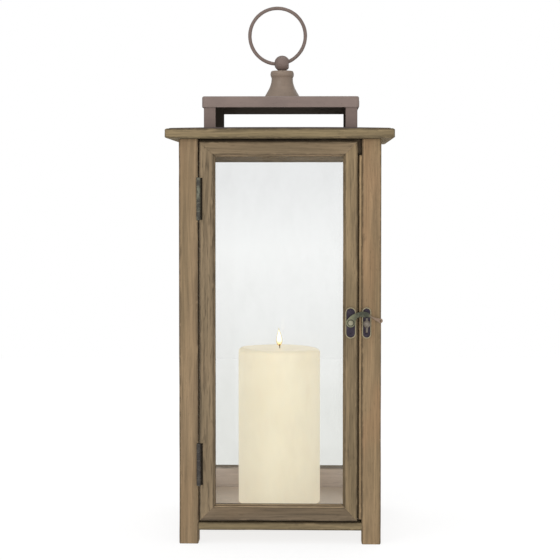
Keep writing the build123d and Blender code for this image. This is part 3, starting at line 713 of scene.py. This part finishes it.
wood_post = wood("wood_post", Z, (132, 112, 87), (138, 115, 88), (114, 99, 74), 0.15)
wood_post_warm = wood(
    "wood_post_warm", Z, (135, 114, 87), (147, 117, 88), (116, 101, 74), 0.12, 0.0, 0.31)
wood_stile = wood("wood_stile", Z, (128, 111, 88), (132, 113, 89), (108, 95, 74), 0.4, 0.5, 0.12)
wood_latch = wood("wood_latch", Z, (130, 112, 86), (137, 116, 88), (110, 97, 72), 0.3, 0.25, 0.57)
wood_door_top = wood("wood_door_top", X, (130, 112, 89), (134, 113, 87), (110, 97, 75), 0.4, 0.0, 0.2)
wood_door_low = wood("wood_door_low", X, (112, 97, 79), (114, 97, 76), (95, 84, 67), 0.45, 0.0, 0.26)
wood_board = wood("wood_board", X, (126, 110, 84), (133, 115, 87), (107, 98, 70), 0.35, 0.2, 0.44)
# The door stop's wood is paler than the posts', painted light that makes up for the shade in the narrow
# gap beside the door.
lightened_wood_stop = wood("lightened_wood_stop", Z, (154, 130, 98), (158, 131, 96), (134, 113, 84), 0.15, 0.0, 1.1)
# The bottom rails' inside faces are pale, partly the taupe paint seen through the door and partly
# painted light that makes up for the dim inside of the case.
wood_rail_x, wood_rail_y = (
    wood(name, grain, (138, 122, 99), (141, 122, 96), (120, 106, 85), 0.15, 0.0, shift, (211, 197, 188))
    for name, grain, shift in (("wood_rail_x", X, 0.8), ("wood_rail_y", Y, 0.9)))
# The handle is one taupe paint: the cone's lighter copy is painted light, and the darker copy on the
# legs, ball and ring is painted shade.
handle_paint = painted_metal("handle_paint", (120, 105, 98))
lit_cone_paint = painted_metal("lit_cone_paint", (133, 117, 103))
shaded_handle_paint = painted_metal("shaded_handle_paint", (110, 95, 88))
# The floor plate is taupe paint made paler, a painted light that makes up for the dim inside of the
# case.
floor_paint = painted_metal("floor_paint", (205, 188, 172))
# The roof sheet's taupe paint is darkened, a painted shade.
shaded_sheet_paint = painted_metal("shaded_sheet_paint", (66, 56, 54))
hinge_upper_iron = aged_metal(
    "hinge_upper_iron", (66, 63, 57), (110, 110, 95), (146, 142, 127), (0.42, 0.62))
hinge_lower_iron = aged_metal(
    "hinge_lower_iron", (52, 48, 45), (74, 69, 63), (112, 107, 100), (0.45, 0.70))
# The hook's shaded_well tint is painted shade round the rivet's head.
bronze = aged_metal(
    "bronze", (62, 64, 52), (88, 89, 72), (160, 158, 134), (0.40, 0.62), 0.35, (0.30, 0.50),
    [("tail", (138, 116, 98)), ("arc", (124, 124, 98)), ("shaded_well", (40, 38, 34))])
bronze_catch = aged_metal(
    "bronze_catch", (104, 96, 86), (134, 124, 114), (200, 190, 178), metallic=0.35)
# The rivet's domed head is a paler bronze, a painted highlight.
highlit_bronze_dome = aged_metal("highlit_bronze_dome", (140, 136, 114), (164, 158, 136), (206, 200, 180))
bronze_plate = aged_metal(
    "bronze_plate", (44, 36, 48), (60, 52, 62), (150, 140, 112), (0.45, 0.68), 0.25,
    tints=[("raised", (150, 140, 112))])
steel = plain_steel("steel")
glass = pane_glass("glass")
wax = candle_wax("wax")


# ---------------------------------------------------------------- case


case_front = box("post_front_left")[0][Y]
stile_low, stile_high = box("door_stile_hinge")
latch_low, latch_high = box("door_stile_latch")
rail_top_low, rail_top_high = box("door_rail_top")
rail_bottom_low, rail_bottom_high = box("door_rail_bottom")
hinge_x, half_gap, leaf_thick = -71.45 * MM, 0.45 * MM, 0.9 * MM
knuckle_room_width, knuckle_room_depth = 3.0 * MM, 2.4 * MM
overshoot = 1.0 * MM


def mortise(level, side):
    """The recess in the post or the door that a hinge's leaf lies in, open to the front."""
    low, high = box(f"hinge_{level}_leaf_{side}")
    way = -1 if side == "post" else 1
    reaches = (hinge_x + way * (half_gap - overshoot), hinge_x + way * (half_gap + leaf_thick))
    return (min(reaches), case_front - overshoot, low[Z]), (max(reaches), high[Y], high[Z])


def knuckle_room(level):
    """The pocket in the door's face beside a hinge's knuckles."""
    low, high = box(f"hinge_{level}_leaf_door")
    return ((stile_low[X] - overshoot, stile_low[Y] - overshoot, low[Z]),
            (stile_low[X] + knuckle_room_width, stile_low[Y] + knuckle_room_depth, high[Z]))


for seed, corner in enumerate(("front_left", "front_right", "back_left", "back_right")):
    material = wood_post_warm if corner in ("front_right", "back_left") else wood_post
    post = timber_box(f"post_{corner}", Z, 10 + 3 * seed, "post_wood", material, ease=0.9 * MM)
    if corner == "front_left":
        carve(post, [mortise(level, "post") for level in ("lower", "upper")])

for seed, side in enumerate(("left", "right", "back")):
    grain, material = (X, wood_rail_x) if side == "back" else (Y, wood_rail_y)
    inward = Vector({"left": (1, 0, 0), "right": (-1, 0, 0), "back": (0, -1, 0)}[side])
    for level in ("bottom", "top"):
        rail = timber_box(f"{level}_rail_{side}", grain, 30 + 5 * seed, "rail_wood", material,
                          wear=0.5, end_wear=0.5)
        if level == "bottom":
            # the inside faces get the pale inner colour, partly painted light
            mark_faces(rail, "inside", lambda centre, normal: normal.dot(inward) > 0.3)

timber_box("bottom_board", X, 50, "board_wood", wood_board, step=1.6 * MM)
timber_box("roof_board", X, 54, "board_wood", wood_board, step=1.4 * MM, radius=1.0 * MM, ease=1.8 * MM)
# The header lies in shade under the roof and takes the darkest wood, a painted shade.
timber_box("front_header", X, 58, "rail_wood", wood_door_low, wear=0.4)

stop_low, stop_high = box("door_stop")
stop_plane, stop_nose = -73.2 * MM, 69.4 * MM
stop_outline = [
    (stop_high[X], stop_low[Y]), (stop_high[X], stop_high[Y]), (stop_low[X], stop_high[Y]),
    (stop_low[X], stop_plane), (stop_nose, stop_plane), (stop_nose, stop_low[Y]),
]
stop = timber("door_stop_timber", stop_outline, 0.3 * MM, (X, Y, Z), (stop_low[Z], stop_high[Z]), 62,
              wear=0.4)
finish_piece(stop, lightened_wood_stop, ["door_stop"])


def slab(node, material, radius, edge, seed, crown=0.0):
    """A thin sheet with a rounded upper edge, lower at its ends by crown, in a CAD node's box."""
    low, high = box(node)
    half = (high - low) / 2
    inner = [share * half[X] for share in (0.10, 0.22, 0.36, 0.52, 0.68, 0.84, 0.97)]
    levels = [(inset, low[Z]) for inset in reversed(inner)]
    levels += [(0.0, low[Z]), (0.0, high[Z] - edge), (0.3 * edge, high[Z] - 0.3 * edge), (edge, high[Z])]
    levels += [(inset, high[Z]) for inset in inner]
    piece = pan(f"{node}_sheet", levels, half[X], half[Y], radius, seed, 0.12 * MM)
    for vert in piece.data.vertices:
        above = (vert.co.z - low[Z]) / (high[Z] - low[Z])
        vert.co.z -= crown * above * abs(vert.co.x / half[X]) ** 3
    curvature(piece, 0.0)
    return finish_piece(piece, material, [node])


slab("roof_sheet", shaded_sheet_paint, 3.0 * MM, 0.5 * MM, 70, crown=0.7 * MM)
slab("floor_plate", floor_paint, 1.0 * MM, 0.8 * MM, 72)

# ---------------------------------------------------------------- door

door_low = np.array([stile_low[X], stile_low[Y], rail_bottom_low[Z]])
door_high = np.array([latch_high[X], stile_high[Y], rail_top_high[Z]])
opening_low = np.array([stile_high[X], 0.0, rail_bottom_high[Z]])
opening_high = np.array([latch_low[X], 0.0, rail_top_low[Z]])
lip_width, lip_setback, lip_thick, rebate = 1.5 * MM, 3.0 * MM, 2.5 * MM, 4.0 * MM
closing_bevel = 1.5 * MM


def door_member(node, edge_at, outer_at, axes, spans, seed, material, bevel=False):
    """A moulded, mitred member. edge_at is the opening's edge, outer_at the door's outer edge,
    and spans gives for each end the place at the opening's edge and at the outer edge."""
    way = math.copysign(1.0, outer_at - edge_at)
    width = abs(outer_at - edge_at)
    front, back = door_low[Y], door_high[Y]
    lip_front = front + lip_setback
    lip_back = lip_front + lip_thick
    outline = [
        (lip_width, front), (width, front), (width, back), (rebate, back),
        (rebate, lip_back), (0.0, lip_back), (0.0, lip_front), (lip_width, lip_front),
    ]
    radii = [0.5 * MM, 0.9 * MM, 0.5 * MM, 0.0, 0.0, 0.3 * MM, 0.4 * MM, 0.0]
    if bevel:
        outline[2:3] = [(width, back - closing_bevel), (width - closing_bevel, back)]
        radii[2:3] = [0.2 * MM, 0.2 * MM]
    corners = [(edge_at + way * w, d) for w, d in outline]

    def ends(points):
        share = np.abs(points[:, 0] - edge_at) / width
        return [inner + (outer - inner) * share for inner, outer in spans]

    piece = timber(f"{node}_timber", corners, radii, axes, ends, seed, step=0.9 * MM, ease=0.22 * MM,
                   wear=0.8, end_wear=0.6)
    return finish_piece(piece, material, [node])


upright = ((opening_low[Z], door_low[Z]), (opening_high[Z], door_high[Z]))
level_run = ((opening_low[X], door_low[X]), (opening_high[X], door_high[X]))
hinge_stile = door_member(
    "door_stile_hinge", opening_low[X], door_low[X], (X, Y, Z), upright, 80, wood_stile)
door_member(
    "door_stile_latch", opening_high[X], door_high[X], (X, Y, Z), upright, 84, wood_latch, bevel=True)
door_member(
    "door_rail_top", opening_high[Z], door_high[Z], (Z, Y, X), level_run, 88, wood_door_top)
bottom_rail = door_member(
    "door_rail_bottom", opening_low[Z], door_low[Z], (Z, Y, X), level_run, 92, wood_door_low)

rooms = [knuckle_room(level) for level in ("lower", "upper")]
carve(hinge_stile, [mortise(level, "door") for level in ("lower", "upper")] + rooms)


def gets_painted_shade(centre, normal):
    """Whether a face looks into one of the pockets beside the knuckles, which are painted nearly black
    as painted shade.
    """
    hair = 0.02 * MM
    behind_face = centre.y > stile_low[Y] + 0.2 * MM or normal.y > -0.5
    return behind_face and any(
        all(low[k] - hair < centre[k] < high[k] + hair for k in (X, Y, Z)) for low, high in rooms
    )


def gets_ledge_highlight(centre, normal):
    """Whether a face is the upper side of the bottom rail, in front of the pane, which gets a painted
    highlight.
    """
    return normal.z > 0.6 and centre.y < door_low[Y] + lip_setback + lip_thick


# painted shade in the pockets beside the knuckles, kept in the mark named recess
mark_faces(hinge_stile, "recess", gets_painted_shade)
# painted highlight on the bottom rail's upper side
mark_faces(bottom_rail, "ledge_highlight", gets_ledge_highlight)


def repaint(node, material, easing):
    """Paints a CAD piece that keeps its own mesh, and eases its edges where easing isn't 0."""
    cad = nodes[node]
    cad.data.materials.clear()
    cad.data.materials.append(material)
    if easing:
        soft = cad.modifiers.new("eased", "BEVEL")
        soft.width, soft.segments, soft.limit_method = easing, 2, "ANGLE"


for part, material in (("stile_hinge", wood_stile), ("stile_latch", wood_latch),
                       ("rail_top", wood_door_top), ("rail_bottom", wood_door_low)):
    repaint(f"door_bead_{part}", material, 0.3 * MM)


def glass_pane(node, thin, seed):
    """A pane with ground edges and the slight waviness of old glass. thin is the axis across it."""
    low, high = box(node)
    across = X if thin == Y else Y
    piece = timber(f"{node}_pane", rectangle(low, high, across, thin), 0.25 * MM, (across, thin, Z),
                   (low[Z], high[Z]), seed, step=5.0 * MM, stride=6.0 * MM, ease=0.25 * MM,
                   wear=0.0, relief=0.25)
    finish_piece(piece, glass, [node])


for seed, node in enumerate(("door_glass", "glass_back", "glass_left", "glass_right")):
    glass_pane(node, X if node in ("glass_left", "glass_right") else Y, 100 + 4 * seed)

# ---------------------------------------------------------------- hinges and latch

pin_head = 0.4 * MM


def short_heads(level):
    """Draws a pin's heads in until they stand just clear of the leaves."""
    low, high = box(f"hinge_{level}_leaf_post")
    centre, half = (low[Z] + high[Z]) / 2, (high[Z] - low[Z]) / 2
    pin_low, pin_high = box(f"hinge_{level}_pin")
    pin_half = (pin_high[Z] - pin_low[Z]) / 2

    def squeeze(place):
        away = place[:, Z] - centre
        beyond = np.maximum(np.abs(away) - half, 0.0) * (1.0 - pin_head / (pin_half - half))
        place[:, Z] -= np.sign(away) * beyond
        return place

    return squeeze


def slim_barrel(place):
    """Draws a leaf's rolled knuckles in, where they stand out of the door's face."""
    out = np.clip((stile_low[Y] - place[:, Y]) / (1.0 * MM), 0.0, 1.0)
    place[:, X] -= 0.15 * out * (place[:, X] - hinge_x)
    return place


for level, material in (("lower", hinge_lower_iron), ("upper", hinge_upper_iron)):
    for part in ("leaf_post", "leaf_door"):
        softened(f"hinge_{level}_{part}", 0.22 * MM, 3, material, squeeze=slim_barrel)
    softened(f"hinge_{level}_pin", 0.22 * MM, 3, material, squeeze=short_heads(level))

hook_low, hook_high = box("latch_hook")


def hook_share(start, end):
    """A mark that rises along the hook, from one share of its length to another."""

    def mark(place):
        share = (place[:, X] - hook_low[X]) / (hook_high[X] - hook_low[X])
        return np.clip((share - start) / (end - start), 0.0, 1.0)

    return mark


def raised(node):
    """The rim round a plate, which stands proud of the ground inside it."""
    front = box(node)[0][Y]
    return lambda place: np.clip((front + 0.24 * MM - place[:, Y]) / (0.15 * MM), 0.0, 1.0)


def shaded_eye_well(place):
    """The dished ground of the hook's eye, round the rivet's head, which is painted dark as painted
    shade.
    """
    away = np.hypot(place[:, X] - rivet_centre[X], place[:, Z] - rivet_centre[Z])
    return np.clip((3.2 * MM - away) / (0.5 * MM), 0.0, 1.0)


rivet_centre = sum(box("latch_rivet")) / 2
hook_marks = {"tail": hook_share(0.62, 0.72), "arc": hook_share(0.30, 0.12), "shaded_well": shaded_eye_well}
softened("latch_hook", 0.17 * MM, 10, bronze, marks=hook_marks)
softened("catch_knob", 0.17 * MM, 6, bronze_catch)
softened("latch_rivet", 0.15 * MM, 4, highlit_bronze_dome)
for plate in ("latch_plate", "catch_plate"):
    softened(plate, 0.15 * MM, 2, bronze_plate, 6.0, {"raised": raised(plate)})
for brads in ("latch_brads", "catch_brads"):
    softened(brads, 0.14 * MM, 3, bronze_plate, 6.0)

# ---------------------------------------------------------------- handle

cap_low, cap_high = box("handle_cap")
cap_half = (cap_high - cap_low) / 2
bottom, top = cap_low[Z], cap_high[Z]
sheet = 1.5 * MM
flat_insets = [share * cap_half[X] for share in (0.94, 0.7, 0.4, 0.15)]
under = [(inset, top - sheet) for inset in flat_insets]
under += [
    (sheet + 0.8 * MM, top - sheet), (sheet + 0.2 * MM, top - sheet - 0.2 * MM),
    (sheet, top - sheet - 0.8 * MM), (sheet, top - 5.0 * MM), (sheet, bottom + 0.4 * MM),
    (sheet - 0.4 * MM, bottom),
]
over = [
    (0.4 * MM, bottom), (0.1 * MM, bottom + 0.1 * MM), (0.0, bottom + 0.5 * MM),
    (0.0, bottom + 2.5 * MM), (0.0, bottom + 5.0 * MM), (0.0, top - 1.6 * MM),
    (0.12 * MM, top - 1.0 * MM), (0.45 * MM, top - 0.45 * MM), (1.0 * MM, top - 0.12 * MM),
    (1.6 * MM, top), (4.0 * MM, top),
]
over += [(inset, top) for inset in reversed(flat_insets)]
cap = pan("handle_cap_metal", under + over, cap_half[X], cap_half[Y], 3.0 * MM, 110, 0.25 * MM)
per_ring = len(cap.data.vertices) // len(under + over)
curvature(cap, 0.6)
# the rings under the cap are marked inside, for the faint painted shade
store(cap.data, "inside", np.repeat([1.0] * len(under) + [0.0] * len(over), per_ring))
finish_piece(cap, handle_paint, ["handle_cap"])


def channel_inside(node):
    """The faces of a leg that look into its channel."""
    low, high = box(node)
    outer = max(abs(low[X]), abs(high[X]))
    half_sheet = sheet / 2

    def mark(place):
        web = np.abs(place[:, X]) < outer - half_sheet
        within = (place[:, Y] > low[Y] + half_sheet) & (place[:, Y] < high[Y] - half_sheet)
        return np.where(web & within, 1.0, 0.0)

    return mark


for node in ("handle_leg_left", "handle_leg_right"):
    softened(node, 0.42 * MM, 3, shaded_handle_paint, 3.0, {"inside": channel_inside(node)})
softened("handle_rivets", 0.2 * MM, 3, handle_paint, gain=6.0)
softened("handle_cone", 0.32 * MM, 8, lit_cone_paint, gain=4.0)

ball_low, ball_high = box("ball_finial")
ball_radius = (ball_high[Y] - ball_low[Y]) / 2
ball_centre = np.array([0.0, 0.0, ball_high[Z] - ball_radius])
throat, left_mouth, right_mouth = 2.1 * MM, 2.6 * MM, 4.2 * MM
left_end = -math.sqrt(ball_radius ** 2 - left_mouth ** 2)
right_end = math.sqrt(ball_radius ** 2 - right_mouth ** 2)
hole = [(left_mouth, left_end), (throat, 0.6 * left_end), (throat, 0.0), (right_mouth, right_end)]
first_turn = math.asin(right_mouth / ball_radius)
last_turn = math.pi - math.asin(left_mouth / ball_radius)
rind_rings, ball_sides = 32, 56
rind = [(ball_radius * math.sin(turn), ball_radius * math.cos(turn))
        for turn in np.linspace(first_turn, last_turn, rind_rings + 2)[1:-1]]
loops = []
for radius, along in hole + rind:
    loop = np.full((ball_sides, 3), ball_centre + np.array([along, 0.0, 0.0]))
    loop[:, 1:] += radius * circle(ball_sides)
    loops.append(loop)
ball = ring_mesh("ball_finial_metal", loops, closed=True)
curvature(ball, 0.5)
finish_piece(ball, shaded_handle_paint, ["ball_finial"])

ring_low, ring_high = box("ring")
ring_centre = (ring_low + ring_high) / 2
wire = (ring_high[Y] - ring_low[Y]) / 2
ring_radius = (ring_high[X] - ring_low[X]) / 2 - wire
ring_stations, wire_sides = 168, 20
loops = []
for step, (across, up) in enumerate(circle(ring_stations)):
    turn = 2 * math.pi * step / ring_stations
    out = np.array([across, 0.0, up])
    thick = wire * (0.965 + 0.02 * math.sin(9 * turn) + 0.012 * math.sin(23 * turn + 1.0))
    centre = ring_centre + out * (ring_radius - 0.07 * MM + 0.06 * MM * math.sin(3 * turn + 0.7))
    section = circle(wire_sides) * thick
    loops.append(centre + section[:, :1] * out + section[:, 1:] * np.array([0.0, 1.0, 0.0]))
ring = ring_mesh("ring_metal", loops, closed=True)
curvature(ring, 0.0)
finish_piece(ring, shaded_handle_paint, ["ring"])

for node, material, easing in (
    ("roof_nails", steel, 0.0), ("handle_screws", steel, 0.25 * MM), ("finial_stud", steel, 0.0),
    ("finial_nut", steel, 0.25 * MM), ("hinge_screws_post", hinge_lower_iron, 0.0),
    ("hinge_screws_door", hinge_lower_iron, 0.0),
):
    repaint(node, material, easing)

# ---------------------------------------------------------------- candle

candle_low, candle_high = box("candle")
candle_centre = (candle_low + candle_high) / 2
candle_radius = candle_high[X] - candle_centre[X]
candle_rim, melt_depth = 4.2 * MM, 12 * MM
candle_sides, straight_rings = 120, 44


def melted(ring):
    """Tilts and softens the upper rim, and draws the side in a little here and there."""
    offset = ring - candle_centre
    offset[:, Z] = 0.0
    angle = np.arctan2(offset[:, 1], offset[:, 0])
    top_share = np.clip((ring[:, Z] - (candle_high[Z] - melt_depth)) / melt_depth, 0.0, 1.0)
    lower = 0.55 * MM * (1 + np.cos(angle - 0.3)) + 0.2 * MM * (1 + np.sin(3 * angle + 1.0))
    radius_share = np.linalg.norm(offset, axis=1) / candle_radius
    ring[:, Z] -= lower * top_share * np.clip(radius_share * 1.6 - 0.5, 0.0, 1.0)
    draw = 0.5 + 0.5 * value_noise(ring, (20.0, 20.0, 8.0), 120)
    ring[:, :2] -= offset[:, :2] * (0.35 * MM * draw / candle_radius)[:, None]
    return ring


foot = candle_low[Z]
profile = [(0.3 * MM, foot), (0.6 * candle_radius, foot), (candle_radius - 0.5 * MM, foot),
           (candle_radius - 0.12 * MM, foot + 0.12 * MM), (candle_radius, foot + 0.5 * MM)]
straight = candle_high[Z] - candle_rim - profile[-1][1]
profile += [(candle_radius, profile[4][1] + straight * k / straight_rings)
            for k in range(1, straight_rings + 1)]
for turn in np.linspace(0.0, math.pi / 2, 11)[1:]:
    inset, drop = candle_rim * (1 - math.cos(turn)), candle_rim * (1 - math.sin(turn))
    profile.append((candle_radius - inset, candle_high[Z] - drop))
side_rings = len(profile) - 3
for share in (0.82, 0.72, 0.62, 0.5, 0.38, 0.26, 0.15, 0.07, 0.03):
    profile.append((candle_radius * share, candle_high[Z] - 1.3 * MM * (1 - (share / 0.85) ** 2)))
candle = ring_mesh("candle_wax", [
    melted(level_ring(candle_centre, radius, height, candle_sides)) for radius, height in profile])
# The top rings are marked so that they get a little less painted glow, a painted shade.
on_top = [0.0] * side_rings + [1.0] * (len(profile) - side_rings)
store(candle.data, "top", np.repeat(on_top, candle_sides))
finish_piece(candle, wax, ["candle"], sharp=60.0)

wick_low, wick_high = box("wick")
wick_hidden, wick_stations, wick_sides = 20 * MM, 22, 14
wick_foot = wick_low[Z] + wick_hidden
loops = []
for step in range(wick_stations):
    share = step / (wick_stations - 1)
    bend = (0.35 * math.sin(3.0 * share) - 0.24 * share ** 3, 0.25 * math.sin(4.2 * share))
    thick = 0.55 * MM * (1.0 - 0.45 * max(0.0, (step - 18) / 3)) * (1 + 0.12 * math.sin(2.4 * step))
    centre = candle_centre[:2] + MM * np.array(bend)
    height = wick_foot + (wick_high[Z] - wick_foot) * share
    loops.append(level_ring(centre, thick, height, wick_sides, 0.35 * step))
wick = ring_mesh("wick_cotton", loops)
burnt = charred("charred", wick_low[Z] + 24 * MM, wick_high[Z])
finish_piece(wick, burnt, ["wick"], sharp=80.0)


def flame_shape(name, low, high, radius, material):
    """A leaning teardrop round the wick's tip."""
    flame_rings, flame_sides = 33, 28
    loops = []
    for share in np.linspace(0.0, 1.0, flame_rings):
        swell = math.sin(math.pi * share ** 0.62) ** 0.9 * (1 - 0.35 * share)
        width = max(0.05 * MM, 1.18 * radius * swell)
        loop = level_ring(candle_centre, width, low + (high - low) * share, flame_sides)
        loop[:, X] -= 0.5 * MM * share ** 2
        loops.append(loop)
    finish_piece(ring_mesh(name, loops), material, [], sharp=180.0)


flame_low, flame_high = wick_high[Z] - 6.2 * MM, wick_high[Z] + 11.2 * MM
heart_low, heart_high = flame_low + 1.4 * MM, flame_high - 2.2 * MM
heart = flame_light("flame_light", heart_low, heart_high)
veil = flame_veil("flame_veil", flame_low, flame_high)
flame_shape("flame", heart_low, heart_high, 1.95 * MM, heart)
flame_shape("flame_veil", flame_low, flame_high, 2.8 * MM, veil)

# ---------------------------------------------------------------- floor, light and camera

white = (1.0, 1.0, 1.0, 1.0)
ground = Paint("studio_floor", Roughness=0.9, Specular_IOR_Level=0.0, Base_Color=(0.3, 0.3, 0.3, 1.0),
               Emission_Color=white, Emission_Strength=0.79)
reach = 1.5
floor_corners = [(-reach, -reach, 0), (reach, -reach, 0), (reach, reach, 0), (-reach, reach, 0)]
floor_mesh = bpy.data.meshes.new("studio_floor")
floor_mesh.from_pydata(floor_corners, [], [(0, 1, 2, 3)])
floor_mesh.materials.append(ground.material)
link_object("studio_floor", floor_mesh)

world = bpy.data.worlds.new("studio")
bpy.context.scene.world = world
world.use_nodes = True
background = world.node_tree.nodes["Background"]
background.inputs["Color"].default_value = white
light_path = world.node_tree.nodes.new("ShaderNodeLightPath")
strength = world.node_tree.nodes.new("ShaderNodeMapRange")
strength.inputs["To Min"].default_value = 0.5
strength.inputs["To Max"].default_value = 1.0
world.node_tree.links.new(light_path.outputs["Is Camera Ray"], strength.inputs["Value"])
world.node_tree.links.new(strength.outputs["Result"], background.inputs["Strength"])
lantern_middle = Vector((0.0, 0.0, 0.2))


def softbox(name, place, size, power, mirrored=True):
    """A large square lamp that looks at the middle of the lantern, mirrored in its glass or not."""
    lamp = bpy.data.lights.new(name, "AREA")
    lamp.size = size
    lamp.energy = power
    holder = link_object(name, lamp)
    holder.location = place
    holder.visible_camera = False
    holder.visible_glossy = mirrored
    beam = lantern_middle - Vector(place)
    holder.rotation_euler = beam.to_track_quat("-Z", "Y").to_euler()


softbox("front", (0.1, -2.8, 0.45), 1.4, 44.5, False)
softbox("key", (-1.5, -2.2, 1.9), 1.2, 11.0)
softbox("top", (0.0, 0.2, 2.6), 2.0, 12.0)
softbox("rear", (0.6, 2.4, 1.2), 1.6, 8.0)

camera_data = bpy.data.cameras.new("camera")
camera_data.lens = 105.49
camera_data.sensor_width = 36.0
camera_data.shift_y = -0.075
camera_data.clip_start = 0.05
camera = link_object("camera", camera_data)
camera.location = (0.0343, -1.5277, 0.3122)
camera.rotation_euler = Euler((math.radians(90.0 - 1.669), 0.0, math.radians(1.363)))
bpy.context.scene.camera = camera
bpy.context.scene.view_settings.view_transform = "Standard"
